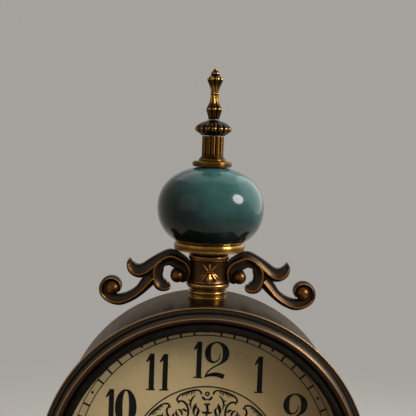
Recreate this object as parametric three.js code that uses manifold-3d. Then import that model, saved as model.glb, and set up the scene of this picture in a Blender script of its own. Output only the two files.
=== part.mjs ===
// A table clock: a round drum on a ceramic and bronze pedestal, with a crest of scrolls,
// a glazed ball and a turned finial. Millimetres, +Z up, the dial faces -Y, and the origin
// is the middle of the base on the surface that the clock stands on.

import * as THREE from 'three';
import { mergeVertices } from 'three/addons/utils/BufferGeometryUtils.js';
import Module from 'manifold-3d';

const wasm = await Module();
wasm.setup();

// Fits shared by the whole clock
const seatGap = 0.3;
const runningGap = 0.3;
const overrun = 2;
const roundSides = 32;
const drumSides = 40;
const ringSides = 20;
const smallSides = 12;
const tinySides = 8;

// Drum: its axis runs front to back, and the posts above and below stand at depth zero
const drum = {
  radius: 101.2, wall: 2, front: 45, back: -27.5, rearLedgeInset: 5, rearLedgeDepth: 2,
  rearLedgeWidth: 8, dialLedgeDepth: 3, dialLedgeWidth: 6,
};
const bezel = {
  lipOverhang: 3.8, lipRise: 6.7, lipDepth: 3.2, grooveDepth: 1.2, grooveWidth: 2.4, bandCrest: 3.9,
  innerSlope: 1.25, innerDrop: 2, spigotDepth: 5, spigotWall: 2.4, chamfer: 2.5,
};
const throat = { proud: 3.5, lipWidth: 4.7, flangeWidth: 1.8, flangeDepth: 0.7, lipRound: 0.9 };
const glass = { thickness: 2 };
const dial = { setback: 9.6, thickness: 1 };

// Rear of the drum
const backPlate = {
  thickness: 2, windowSideMargin: 2, windowEndMargin: 4, screwRadius: 1.5, screwInset: 5.7,
  screwHeadRadius: 3, screwHeadHeight: 1.6, screwLength: 8, screwCount: 3,
};
const door = {
  margin: 3, thickness: 1.6, armThickness: 1.2, pinRadius: 1, knuckleRadius: 2, knuckleLength: 16,
  leafWidth: 6, leafThickness: 1, pullRadius: 4.5, pullHeight: 6, pullInset: 9, magnetSize: 7, magnetDepth: 4,
};

// Movement, behind the dial, and the tubes that carry the hands
const movement = {
  depth: 16, wall: 1.6, coverThickness: 1.4, bushClearance: 0.4, bushWall: 1.1, bushReach: 3.4,
  washerThickness: 0.8, washerRadius: 11,
};
const nut = { flats: 10.5, thickness: 2 };
const gear = {
  module: 0.5, addendum: 0.42, dedendum: 0.62, tipHalfShare: 0.1, rootHalfShare: 0.25, cannonTeeth: 10,
  wheelTeeth: 30, pinionTeeth: 8, hourTeeth: 32,
};
const arbor = { secondsRadius: 0.5, clearance: 0.35, cannonWall: 0.85, hourWall: 0.45 };
const stem = { radius: 1.2, clearance: 0.4 };
const wheels = {
  hourThickness: 1.4, cannonThickness: 2, frontRoom: 1.3, betweenRoom: 1.6, motorRoom: 1, endRoom: 1.28,
};
const setKnob = { radius: 5.5, height: 5, ribs: 14, ribDepth: 0.5, stemGap: 1.2 };
const battery = {
  radius: 7.1, length: 49.2, nubRadius: 2.7, nubHeight: 1.3, topRoom: 2.5, bottomRoom: 0.9,
};
const contact = { thickness: 0.5, width: 9, height: 10, springRadius: 2.5, springLength: 3.55 };
const board = { height: 12, thickness: 1.2, sideRoom: 2.4, motorRoom: 1, bottom: 4 };
const motor = { width: 22, height: 15, left: -9, bottom: -6.5, arborShare: 0.7, boreShare: 0.9 };
const coil = {
  radius: 4, coreRadius: 1.4, length: 20, coreLength: 24, motorRoom: 3, middle: 8, endRoom: 2.4,
};

// Hands, which read twenty past eight at rest
const hourHand = {
  rimRoom: 42.7, width: 11, thickness: 0.8, hubRadius: 5, gap: 0.6, proud: 0.6, restHours: 8.333,
};
const minuteHand = {
  rimRoom: 15.7, width: 8.5, thickness: 0.8, hubRadius: 4, gap: 1.4, proud: 0.6, restMinutes: 20,
};
const secondHand = {
  rimRoom: 13.7, tail: 22, width: 1.4, thickness: 0.5, hubRadius: 2.6, gap: 1.3, proud: 0.2, restSeconds: 33,
};
const hubFit = 0.15;

// Crest, from the drum's top upwards
const rod = {
  radius: 3, clearance: 0.4, nutFlats: 10, nutHeight: 5, washerRadius: 9, washerThickness: 1.6, spare: 4,
};
const crestCollar = { radius: 13.4, neckRadius: 12.2, height: 5.3, saddleDepth: 3 };
const crestHub = {
  height: 26.8, footRadius: 11.4, beadRadius: 14.9,
  tenonInner: 8.4, tenonHeight: 8, tenonDepth: 6, tenonLow: 11.5,
};
const crestScroll = { reach: 74, ridgeHalf: 6, edgeHalf: 3.8, eyeDepthShare: 1.35 };
const palmette = {
  leafWidth: 1.6, upperLength: 6, lowerLength: 9, knotHeight: 12.4, relief: 1.6, seatShare: 0.457,
};
const palmetteUpperDegrees = [-40, 0, 40];
const palmetteLowerDegrees = [144, 162, 180, 198, 216];
const seatRing = { radius: 23.7, height: 5.8, round: 1.8 };
const ball = {
  halfWidth: 36.4, halfHeight: 28.4, power: 2.2, seatFlat: 5.9, topFlat: 0.6, wall: 3, seatBore: 14.9,
};
const flange = { radius: 13.6, height: 3.9, round: 1.4 };
const column = {
  radius: 7.4, footRadius: 9.4, footHeight: 3.2, height: 16.6, flutes: 12, fluteRadius: 1.4, fluteDepth: 0.9,
};
const gadroon = { radius: 12.5, height: 10.5, lobes: 12, grooveRadius: 0.9, grooveDepth: 0.6 };
const spire = { radius: 5.65, height: 34.4, bore: 6, studRadius: 2 };

// Pedestal, from the surface upwards
const pad = { thickness: 2, inset: 3 };
const plinth = { radius: 74.5, height: 26 };
const footRing = { radius: 32, height: 6, round: 2 };
const footBall = {
  halfWidth: 47, halfHeight: 34, power: 2.2, seatFlat: 5.5, topFlat: 5.5, wall: 3.5, seatBore: 18,
  topBore: 13,
};
const topRing = { radius: 28, height: 6, round: 2 };
const lowerHub = {
  height: 35, footRadius: 13, beadRadius: 18,
  tenonInner: 9, tenonHeight: 9, tenonDepth: 7, tenonLow: 11,
};
const lowerCollar = { radius: 15, waistRadius: 12, height: 15 };
const sideScroll = { drumRoom: 17.8, ridgeHalf: 7, edgeHalf: 4.6, eyeDepthShare: 1.3 };

// Outlines, as shares of the sizes that they follow: radius and height from the foot
const plinthShares = [
  [0.965, 0], [1, 0.05], [1, 0.2], [0.92, 0.29], [0.89, 0.42], [0.7, 0.58], [0.6, 0.69], [0.58, 0.8],
  [0.46, 0.89], [0.45, 1],
];
const plinthHollowShares = [[0.38, 0.86], [0.78, 0.38], [0.92, 0]];
const spireShares = [
  [0.65, 0], [0.65, 0.03], [0.8, 0.1], [0.955, 0.17], [0.955, 0.24], [0.78, 0.3], [0.52, 0.345],
  [0.51, 0.56], [0.74, 0.64], [0.96, 0.71], [1, 0.77], [0.9, 0.82], [0.52, 0.855], [0.55, 0.875],
  [0.44, 0.9], [0.36, 0.95], [0.25, 0.985],
];
const hubShares = [
  [0, 0], [0, 0.03], [0.75, 0.07], [1, 0.12], [0.95, 0.18], [0.55, 0.22], [0.4, 0.28], [0.28, 0.5],
  [0.4, 0.72], [0.6, 0.78], [0.66, 0.84], [0.56, 0.89], [0.2, 0.92], [0.2, 1],
];
const lowerHubShares = [
  [0, 0], [0, 0.06], [0.5, 0.12], [1, 0.2], [0.95, 0.27], [0.45, 0.31], [0.3, 0.4], [0.3, 0.62],
  [0.6, 0.68], [0.9, 0.75], [0.8, 0.82], [0.3, 0.88], [0.2, 1],
];
const columnShares = [[1, 0], [1, 0.25], [0.3, 0.7], [0, 1]];
const gadroonShares = [
  [0.547, 0], [1, 0.3], [1, 0.45], [0.821, 0.66], [0.245, 0.86], [0.04, 1],
];
const crestCollarShares = [[0, 0.2], [1, 0.45], [1, 0.7], [0, 1]];
const pullShares = [[0.55, 0], [0.5, 0.3], [1, 0.6], [1, 0.85], [0.7, 1]];
const collarShares = [
  [1, 0], [1, 0.16], [0.5, 0.28], [0, 0.45], [0, 0.62], [0.45, 0.76], [0.8, 0.84], [0.8, 1],
];

// Scrolls, as shares of the span from the hub's edge to their reach: across, up, half the width
// and where the ridge runs between the right (0) and left (1) edge of the travel
const crestArmShares = [
  [0.186, 0.466, 0.08, 0.63], [0.289, 0.421, 0.081, 0.57], [0.391, 0.352, 0.085, 0.48],
  [0.484, 0.295, 0.081, 0.36], [0.561, 0.283, 0.074, 0.14], [0.623, 0.313, 0.063, 0.06],
  [0.659, 0.372, 0.039, 0.03], [0.664, 0.424, 0.01, 0.03],
];
const crestArmCurl = {
  xShare: 0.108, zShare: 0.247, fromDegrees: 240, toDegrees: 95, radiusShares: [0.075, 0.187],
  halfShares: [0.008, 0.056], ridgeShares: [0.95, 0.7], eyeShare: 0.074,
};
const crestLowerShares = [
  [0.396, 0.217, 0.074, 0.3], [0.467, 0.139, 0.071, 0.25], [0.542, 0.054, 0.058, 0.2],
  [0.659, -0.025, 0.058, 0.2], [0.78, -0.061, 0.061, 0.18],
];
const crestLowerCurl = {
  xShare: 0.851, zShare: 0.083, fromDegrees: -70, toDegrees: 215, radiusShares: [0.125, 0.083],
  halfShares: [0.05, 0.011], ridgeShares: [0.16, 0.12], eyeShare: 0.075,
};
const crestLeafShares = [
  [0.323, 0.327, 0.084, 0.75], [0.346, 0.254, 0.071, 0.78], [0.334, 0.187, 0.069, 0.82],
  [0.298, 0.134, 0.07, 0.86], [0.252, 0.12, 0.064, 0.9], [0.216, 0.12, 0.05, 0.92],
  [0.19, 0.135, 0.02, 0.95],
];
const sideArmShares = [
  [-0.049, 0, 0.049, 0.5], [0.099, 0.009, 0.052, 0.4], [0.293, 0.088, 0.055, 0.3],
  [0.511, 0.289, 0.057, 0.25], [0.705, 0.571, 0.052, 0.3], [0.837, 0.89, 0.045, 0.42],
  [0.888, 1.149, 0.035, 0.6],
];
const sideArmCurl = {
  xShare: 0.935, zShare: 1.302, fromDegrees: 190, toDegrees: -110, radiusShares: [0.059, 0.042],
  halfShares: [0.024, 0.008], ridgeShares: [0.75, 0.85], eyeShare: 0.04,
};
const sideLowerShares = [
  [0.199, 0.04, 0.045, 0.35], [0.317, -0.029, 0.04, 0.25], [0.434, -0.061, 0.037, 0.2],
];
const sideLowerCurl = {
  xShare: 0.573, zShare: 0.053, fromDegrees: -100, toDegrees: 175, radiusShares: [0.079, 0.049],
  halfShares: [0.032, 0.007], ridgeShares: [0.18, 0.15], eyeShare: 0.051,
};
const sideLeafShares = [
  [0.281, 0.082, 0.047, 0.3], [0.228, 0.153, 0.04, 0.25], [0.158, 0.189, 0.038, 0.2],
  [0.099, 0.171, 0.031, 0.18], [0.075, 0.13, 0.012, 0.15],
];
const ridgeEdgeShare = 0.02;

// Outlines of the hands: half the width, and the way along the hand
const hourHandShares = [
  [0.3, 0], [0.22, 0.3], [0.3, 0.42], [0.9, 0.52], [1, 0.6], [0.75, 0.7], [0.32, 0.78], [0.26, 0.84],
  [0, 1],
];
const minuteHandShares = [
  [0.34, 0], [0.24, 0.4], [0.34, 0.52], [0.9, 0.6], [1, 0.66], [0.74, 0.73], [0.32, 0.79], [0.26, 0.85],
  [0, 1],
];

const spireSides = 12;
const armSteps = 16;
const leafSteps = 6;
const curlSteps = 7;
const ballSteps = 10;
const innerBallSteps = 3;
const leafSides = 6;
const grooveSides = 4;

// Sizes that follow from other pieces
for (const size of [ball, footBall]) {
  size.seatDrop = size.halfHeight - size.seatFlat;
  size.topRise = size.halfHeight - size.topFlat;
}
crestScroll.root = crestHub.beadRadius;
crestScroll.span = crestScroll.reach - crestScroll.root;
sideScroll.root = lowerHub.beadRadius;
sideScroll.span = drum.radius + sideScroll.drumRoom - sideScroll.root;
rod.hole = rod.radius + rod.clearance;

// Radii that fit into each other: from the drum inwards, and from the seconds arbor outwards
const fit = {};
fit.drumInner = drum.radius - drum.wall;
fit.spigot = fit.drumInner - seatGap;
fit.spigotBore = fit.spigot - bezel.spigotWall;
fit.dialStack = fit.spigotBore - seatGap;
fit.throat = fit.dialStack - throat.flangeWidth;
fit.opening = fit.throat - throat.lipWidth;
fit.cannonBore = arbor.secondsRadius + arbor.clearance;
fit.cannon = fit.cannonBore + arbor.cannonWall;
fit.hourBore = fit.cannon + arbor.clearance;
fit.hour = fit.hourBore + arbor.hourWall;
fit.bushBore = fit.hour + movement.bushClearance;
fit.bush = fit.bushBore + movement.bushWall;
fit.dialHole = fit.bush + seatGap;
fit.gears = gear.module * (gear.cannonTeeth + gear.wheelTeeth) / 2;
fit.wheelTip = gear.module * gear.wheelTeeth / 2 + gear.addendum;

// Depths along the drum's axis, forwards positive
const depth = {};
depth.dial = drum.front - dial.setback;
depth.lip = drum.front + bezel.lipRise;
depth.throat = depth.lip + throat.proud;
depth.rearLedge = drum.back + drum.rearLedgeInset;
depth.caseFront = depth.dial - dial.thickness - movement.washerThickness - seatGap;
depth.caseBack = depth.caseFront - movement.depth;
depth.hourWheel = depth.caseFront - movement.wall - wheels.frontRoom - wheels.hourThickness;
depth.cannonWheel = depth.hourWheel - wheels.betweenRoom - wheels.cannonThickness;
depth.motorTop = depth.cannonWheel - wheels.motorRoom;
depth.coverFront = depth.caseBack + movement.coverThickness;
depth.inside = depth.coverFront + seatGap;
depth.hourHand = depth.dial + movement.bushReach + hourHand.gap;
depth.hourEnd = depth.hourHand + hourHand.thickness + hourHand.proud;
depth.minuteHand = depth.hourEnd + minuteHand.gap;
depth.cannonEnd = depth.minuteHand + minuteHand.thickness + minuteHand.proud;
depth.secondHand = depth.cannonEnd + secondHand.gap;
depth.secondsEnd = depth.secondHand + secondHand.thickness + secondHand.proud;

// The movement's case around what it holds, from the dial's centre
const cellLength = battery.length + battery.nubHeight;
const housing = {};
housing.half = cellLength / 2 + seatGap + contact.springLength + seatGap + movement.wall;
housing.top = coil.middle + coil.coreLength / 2 + coil.endRoom + movement.wall;
housing.bayTop = -(fit.gears + fit.wheelTip + wheels.endRoom + movement.wall);
housing.battery = housing.bayTop - battery.topRoom - battery.radius;
housing.bottom = housing.battery - battery.radius - battery.bottomRoom - movement.wall;

// Heights of the stack
const height = {};
height.plinth = pad.thickness + seatGap;
height.footRing = height.plinth + plinth.height + seatGap;
height.footBall = height.footRing + footRing.height + seatGap;
height.topRing = height.footBall + footBall.seatDrop + footBall.topRise + seatGap;
height.lowerHub = height.topRing + topRing.height + seatGap;
height.lowerCollar = height.lowerHub + lowerHub.height + seatGap;
height.dial = height.lowerCollar + lowerCollar.height + seatGap + drum.radius;
height.drumTop = height.dial + drum.radius;
height.crestHub = height.drumTop + crestCollar.height + seatGap;
height.seatRing = height.crestHub + crestHub.height + seatGap;
height.ball = height.seatRing + seatRing.height + seatGap;
height.flange = height.ball + ball.seatDrop + ball.topRise + seatGap;
height.column = height.flange + flange.height + seatGap;
height.gadroon = height.column + column.height + seatGap;
height.spire = height.gadroon + gadroon.height + seatGap;

// Colours as the photograph shows them
const look = {
  bronze: { color: 0x5a3a22, roughness: 0.42, metalness: 0.85 },
  brass: { color: 0xb08a3c, roughness: 0.25, metalness: 1 },
  drumMetal: { color: 0x4a403a, roughness: 0.38, metalness: 0.8 },
  glaze: { color: 0x2f5d5b, roughness: 0.12, metalness: 0 },
  black: { color: 0x15110e, roughness: 0.5, metalness: 0.1 },
  paper: { color: 0xd9c398, roughness: 0.7, metalness: 0 },
  clear: { color: 0xe8f0f0, roughness: 0.05, metalness: 0, transparent: true, opacity: 0.2 },
  steel: { color: 0x9a9a98, roughness: 0.35, metalness: 1 },
  plastic: { color: 0x26282a, roughness: 0.6, metalness: 0 },
  paleGear: { color: 0xe4e0d4, roughness: 0.5, metalness: 0 },
  felt: { color: 0x1f3a2c, roughness: 0.95, metalness: 0 },
  cell: { color: 0x35507a, roughness: 0.35, metalness: 0.3 },
  circuit: { color: 0x1f5a35, roughness: 0.5, metalness: 0 },
  copper: { color: 0xa8592c, roughness: 0.4, metalness: 0.9 },
};

const clock = new THREE.Group();
const drumGroup = new THREE.Group();
drumGroup.position.z = height.dial;
drumGroup.rotation.x = Math.PI / 2;
clock.add(drumGroup);

// Turns a closed three.js geometry into a solid
function toSolid(geometry) {
  const bare = new THREE.BufferGeometry();
  bare.setAttribute('position', geometry.getAttribute('position'));
  bare.setIndex(geometry.index);
  const merged = mergeVertices(bare);
  const index = merged.index.array;
  const triangles = [];
  for (let i = 0; i < index.length; i += 3) {
    const [a, b, c] = index.subarray(i, i + 3);
    if (a !== b && b !== c && c !== a) triangles.push(a, b, c);
  }
  return new wasm.Manifold(new wasm.Mesh({
    numProp: 3,
    vertProperties: Float32Array.from(merged.getAttribute('position').array),
    triVerts: Uint32Array.from(triangles),
  }));
}

function toGeometry(solid) {
  const mesh = solid.getMesh();
  const geometry = new THREE.BufferGeometry();
  const corners = Float32Array.from(mesh.vertProperties);
  geometry.setAttribute('position', new THREE.BufferAttribute(corners, mesh.numProp));
  geometry.setIndex(Array.from(mesh.triVerts));
  return geometry;
}

function addPiece(group, name, solid, material) {
  const geometry = toGeometry(solid);
  geometry.computeVertexNormals();
  const mesh = new THREE.Mesh(geometry, new THREE.MeshStandardMaterial(material));
  mesh.name = name;
  group.add(mesh);
  return mesh;
}

const move = (solid, x, y, z) => solid.translate([x, y, z]);
const mirrorX = (solid) => solid.mirror([1, 0, 0]);
const spin = (solid, degrees) => solid.rotate([0, 0, degrees]);

// A turned solid about Z from an outline of [radius, z], in either direction
function turned(outline, sides) {
  const first = outline[0];
  const last = outline[outline.length - 1];
  const closed = first[0] === 0 && last[0] === 0 ? outline : [...outline, first];
  let area = 0;
  closed.forEach(([r, z], i) => {
    const [nextR, nextZ] = closed[(i + 1) % closed.length];
    area += r * nextZ - nextR * z;
  });
  const points = closed.map(([r, z]) => new THREE.Vector2(r, z));
  if (area < 0) points.reverse();
  const geometry = new THREE.LatheGeometry(points, sides);
  geometry.rotateX(Math.PI / 2);
  return toSolid(geometry);
}

// A round bar or a tube along Z from low to high
function bar(radius, low, high, sides) {
  return turned([[0, low], [radius, low], [radius, high], [0, high]], sides);
}

function tube(radius, bore, low, high, sides) {
  return turned([[bore, low], [radius, low], [radius, high], [bore, high]], sides);
}

function box(lowX, lowY, lowZ, highX, highY, highZ) {
  const geometry = new THREE.BoxGeometry(highX - lowX, highY - lowY, highZ - lowZ);
  geometry.translate((lowX + highX) / 2, (lowY + highY) / 2, (lowZ + highZ) / 2);
  return toSolid(geometry);
}

// A flat plate from an outline in x and y, between two heights
function plate(outline, low, high) {
  const shape = new THREE.Shape(outline.map(([x, y]) => new THREE.Vector2(x, y)));
  const geometry = new THREE.ExtrudeGeometry(shape, { depth: high - low, bevelEnabled: false });
  geometry.translate(0, 0, low);
  return toSolid(geometry);
}

function hexagon(flats, low, high) {
  const corner = flats / 2 / Math.cos(Math.PI / 6);
  return spin(bar(corner, low, high, 6), 30);
}

// An outline whose radius goes from inner to outer with its first share
function sharedOutline(shares, inner, outer, low, tall) {
  return shares.map(([across, up]) => [inner + (outer - inner) * across, low + tall * up]);
}

// The section of a disc or ring whose outer edge is eased above and below
function easedRing(radius, bore, tall, ease) {
  return [
    [bore, 0], [radius - ease, 0], [radius, ease], [radius, tall - ease], [radius - ease, tall], [bore, tall],
  ];
}

// A hollow ball on a superellipse, open below and above
function hollowBall(size, topBore) {
  const bore = size.seatBore;
  const radiusAt = (z, halfWidth, halfHeight) => {
    const rise = Math.min(1, Math.abs(z) / halfHeight);
    return halfWidth * (1 - rise ** size.power) ** (1 / size.power);
  };
  const outline = [[bore, -size.seatDrop]];
  for (let i = 0; i <= ballSteps; i += 1) {
    const swing = -1 + (2 * i) / ballSteps;
    const rise = size.halfHeight * Math.sin(swing * Math.PI / 2);
    const z = THREE.MathUtils.clamp(rise, -size.seatDrop, size.topRise);
    outline.push([radiusAt(z, size.halfWidth, size.halfHeight), z]);
  }
  outline.push([topBore, size.topRise]);
  const innerLow = -size.seatDrop + size.wall;
  const innerHigh = size.topRise - size.wall;
  for (let i = 0; i <= innerBallSteps; i += 1) {
    const z = innerHigh + (innerLow - innerHigh) * i / innerBallSteps;
    const clear = radiusAt(z, size.halfWidth - size.wall, size.halfHeight - size.wall / 2);
    outline.push([Math.max(clear, i === 0 ? topBore : bore), z]);
  }
  const distinct = outline.filter(([r, z], i) => {
    const before = outline[i - 1];
    return i === 0 || r !== before[0] || z !== before[1];
  });
  return turned(distinct, ringSides);
}

// A band along rows of [x, z, half width, ridge share], with a ridge on both faces
function ridgedBand(rows, steps, ridgeHalf, edgeHalf) {
  const path = new THREE.CatmullRomCurve3(rows.map(([x, z]) => new THREE.Vector3(x, 0, z)));
  const widthPoints = rows.map(([, , half, ridge]) => new THREE.Vector3(half, ridge, 0));
  const widths = new THREE.CatmullRomCurve3(widthPoints);
  const positions = [];
  for (let i = 0; i <= steps; i += 1) {
    const at = path.getPoint(i / steps);
    const along = path.getTangent(i / steps);
    const { x: half, y: ridge } = widths.getPoint(i / steps);
    const ridgeSide = 2 * THREE.MathUtils.clamp(ridge, ridgeEdgeShare, 1 - ridgeEdgeShare) - 1;
    const section = [
      [1, -edgeHalf], [ridgeSide, -ridgeHalf], [-1, -edgeHalf],
      [-1, edgeHalf], [ridgeSide, ridgeHalf], [1, edgeHalf],
    ];
    section.forEach(([side, y]) => {
      positions.push(at.x - along.z * half * side, y, at.z + along.x * half * side);
    });
  }
  const around = 6;
  const index = [];
  for (let i = 0; i < steps; i += 1) {
    for (let j = 0; j < around; j += 1) {
      const a = i * around + j;
      const b = i * around + (j + 1) % around;
      index.push(a, b, a + around, b, b + around, a + around);
    }
  }
  for (let j = 1; j < around - 1; j += 1) {
    index.push(0, j + 1, j);
    const last = steps * around;
    index.push(last, last + j, last + j + 1);
  }
  const geometry = new THREE.BufferGeometry();
  geometry.setAttribute('position', new THREE.Float32BufferAttribute(positions, 3));
  geometry.setIndex(index);
  return toSolid(geometry);
}

function scaledRows(shares, { root, span }) {
  return shares.map(([x, z, half, ridge]) => [root + x * span, z * span, half * span, ridge]);
}

// The rows of a curl, which winds on its eye at an even rate
function curlRows(curl, { root, span }) {
  const rows = [];
  for (let i = 0; i <= curlSteps; i += 1) {
    const share = i / curlSteps;
    const mix = ([start, end]) => start + (end - start) * share;
    const angle = THREE.MathUtils.degToRad(mix([curl.fromDegrees, curl.toDegrees]));
    const x = curl.xShare + mix(curl.radiusShares) * Math.cos(angle);
    const z = curl.zShare + mix(curl.radiusShares) * Math.sin(angle);
    rows.push([root + x * span, z * span, mix(curl.halfShares) * span, mix(curl.ridgeShares)]);
  }
  return rows;
}

function curlEye(curl, size) {
  const radius = curl.eyeShare * size.span;
  const geometry = new THREE.SphereGeometry(radius, tinySides, tinySides / 2);
  geometry.scale(1, size.ridgeHalf * size.eyeDepthShare / radius, 1);
  geometry.translate(size.root + curl.xShare * size.span, 0, curl.zShare * size.span);
  return toSolid(geometry);
}

function unite(solids) {
  return solids.reduce((sum, solid) => sum.add(solid));
}

// A scroll on the right of the hub, in heights above its root
function scrollCasting(size, armRows, lowerRows, leafRows, eyes) {
  const band = (rows, steps) => ridgedBand(rows, steps, size.ridgeHalf, size.edgeHalf);
  const bands = [band(armRows, armSteps), band(lowerRows, armSteps), band(leafRows, leafSteps)];
  return unite([...bands, ...eyes.map((eye) => curlEye(eye, size))]);
}

// The tenon that holds a scroll in its hub
function tenon(hub, reachOut, clearance) {
  const half = hub.tenonDepth / 2 + clearance;
  return box(
    hub.tenonInner - clearance, -half, hub.tenonLow - clearance,
    reachOut, half, hub.tenonLow + hub.tenonHeight + clearance,
  );
}

// A hub with a pocket on each side
function hubSolid(hub, shares, rodHole) {
  const side = sharedOutline(shares, hub.footRadius, hub.beadRadius, 0, hub.height);
  const outline = [[rodHole, 0], ...side, [rodHole, hub.height]];
  const solid = turned(outline, ringSides);
  const pocket = tenon(hub, hub.beadRadius + overrun, seatGap);
  return solid.subtract(pocket).subtract(mirrorX(pocket));
}

// The solid that a scroll keeps clear of: its hub's turned shape with a gap around it
function hubClearance(hub, shares) {
  const outline = sharedOutline(shares, hub.footRadius, hub.beadRadius, 0, hub.height)
    .map(([r, z]) => [r + seatGap, z]);
  const low = [0, outline[0][1] - overrun];
  const high = [0, hub.height + overrun];
  return turned([low, [outline[0][0], low[1]], ...outline, [outline.at(-1)[0], high[1]], high], ringSides);
}

function addScrollPair(name, casting, hub, shares, zBase, seatCut) {
  const trimmed = casting.subtract(hubClearance(hub, shares)).subtract(seatCut);
  const right = trimmed.add(tenon(hub, hub.beadRadius, 0));
  addPiece(clock, `${name}_right`, right, look.bronze).position.z = zBase;
  addPiece(clock, `${name}_left`, mirrorX(right), look.bronze).position.z = zBase;
}

// The palm leaf on the front of the crest hub: fans above and below a knot
function palmetteSolid() {
  const leaf = (length, degrees) => {
    const geometry = new THREE.SphereGeometry(1, leafSides, leafSides / 2);
    geometry.scale(palmette.leafWidth, palmette.relief * 2, length / 2);
    geometry.translate(0, 0, length / 2);
    geometry.rotateY(THREE.MathUtils.degToRad(degrees));
    return toSolid(geometry);
  };
  const leaves = [
    ...palmetteUpperDegrees.map((degrees) => leaf(palmette.upperLength, degrees)),
    ...palmetteLowerDegrees.map((degrees) => leaf(palmette.lowerLength, degrees)),
  ];
  const seat = crestHub.footRadius + (crestHub.beadRadius - crestHub.footRadius) * palmette.seatShare;
  return move(unite(leaves), 0, -seat - palmette.relief / 2, palmette.knotHeight);
}

// The space that the drum takes, with a gap around it, lying front to back
function drumClearance() {
  return bar(drum.radius + seatGap, -drum.radius, drum.radius, drumSides).rotate([90, 0, 0]);
}

function addCrest() {
  const neck = crestCollar.neckRadius;
  const collarOutline = sharedOutline(crestCollarShares, neck, crestCollar.radius, 0, crestCollar.height);
  const collar = turned([
    [rod.hole, -crestCollar.saddleDepth], [neck, -crestCollar.saddleDepth], ...collarOutline,
    [rod.hole, crestCollar.height],
  ], ringSides).subtract(move(drumClearance(), 0, 0, -drum.radius));
  addPiece(clock, 'crest_collar', collar, look.brass).position.z = height.drumTop;

  const hub = hubSolid(crestHub, hubShares, rod.hole).add(palmetteSolid());
  const bore = bar(rod.hole, -overrun, crestHub.height + overrun, smallSides);
  addPiece(clock, 'crest_hub', hub.subtract(bore), look.bronze).position.z = height.crestHub;

  const drop = height.crestHub - height.drumTop;
  const casting = scrollCasting(
    crestScroll,
    [...curlRows(crestArmCurl, crestScroll), ...scaledRows(crestArmShares, crestScroll)],
    [...scaledRows(crestLowerShares, crestScroll), ...curlRows(crestLowerCurl, crestScroll)],
    scaledRows(crestLeafShares, crestScroll),
    [crestArmCurl, crestLowerCurl],
  );
  const ringTop = crestHub.height + seatRing.height;
  const ringCut = bar(seatRing.radius + seatGap, crestHub.height, ringTop, ringSides);
  const lowered = move(casting, 0, 0, -drop);
  addScrollPair('crest_scroll', lowered, crestHub, hubShares, height.crestHub, ringCut);

  const ring = turned(easedRing(seatRing.radius, rod.hole, seatRing.height, seatRing.round), ringSides);
  addPiece(clock, 'ball_seat_ring', ring, look.brass).position.z = height.seatRing;
  const glazed = hollowBall(ball, rod.hole);
  addPiece(clock, 'crest_ball', glazed, look.glaze).position.z = height.ball + ball.seatDrop;
}

function addFinial() {
  const disc = turned(easedRing(flange.radius, rod.hole, flange.height, flange.round), ringSides);
  addPiece(clock, 'finial_flange', disc, look.brass).position.z = height.flange;

  const columnFoot = sharedOutline(columnShares, column.radius, column.footRadius, 0, column.footHeight);
  let fluted = turned([
    [rod.hole, 0], ...columnFoot, [column.radius, column.height], [rod.hole, column.height],
  ], column.flutes * 2);
  const flute = bar(column.fluteRadius, column.footHeight, column.height + overrun, leafSides);
  const fluteAt = column.radius + column.fluteRadius - column.fluteDepth;
  for (let i = 0; i < column.flutes; i += 1) {
    fluted = fluted.subtract(spin(move(flute, fluteAt, 0, 0), 360 * i / column.flutes));
  }
  addPiece(clock, 'finial_column', fluted, look.brass).position.z = height.column;

  const capOutline = sharedOutline(gadroonShares, rod.hole, gadroon.radius, 0, gadroon.height);
  let lobed = turned([[rod.hole, 0], ...capOutline, [rod.hole, gadroon.height]], gadroon.lobes * 2);
  const groove = bar(gadroon.grooveRadius, -overrun, gadroon.height + overrun, grooveSides);
  const grooveAt = gadroon.radius + gadroon.grooveRadius - gadroon.grooveDepth;
  for (let i = 0; i < gadroon.lobes; i += 1) {
    lobed = lobed.subtract(spin(move(groove, grooveAt, 0, 0), 360 * i / gadroon.lobes));
  }
  addPiece(clock, 'finial_gadroon', lobed, look.brass).position.z = height.gadroon;

  const outline = sharedOutline(spireShares, 0, spire.radius, 0, spire.height);
  const bore = bar(spire.studRadius + rod.clearance, -overrun, spire.bore, smallSides);
  const point = turned([[0, 0], ...outline, [0, spire.height]], spireSides).subtract(bore);
  addPiece(clock, 'finial_spire', point, look.brass).position.z = height.spire;
}

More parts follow.
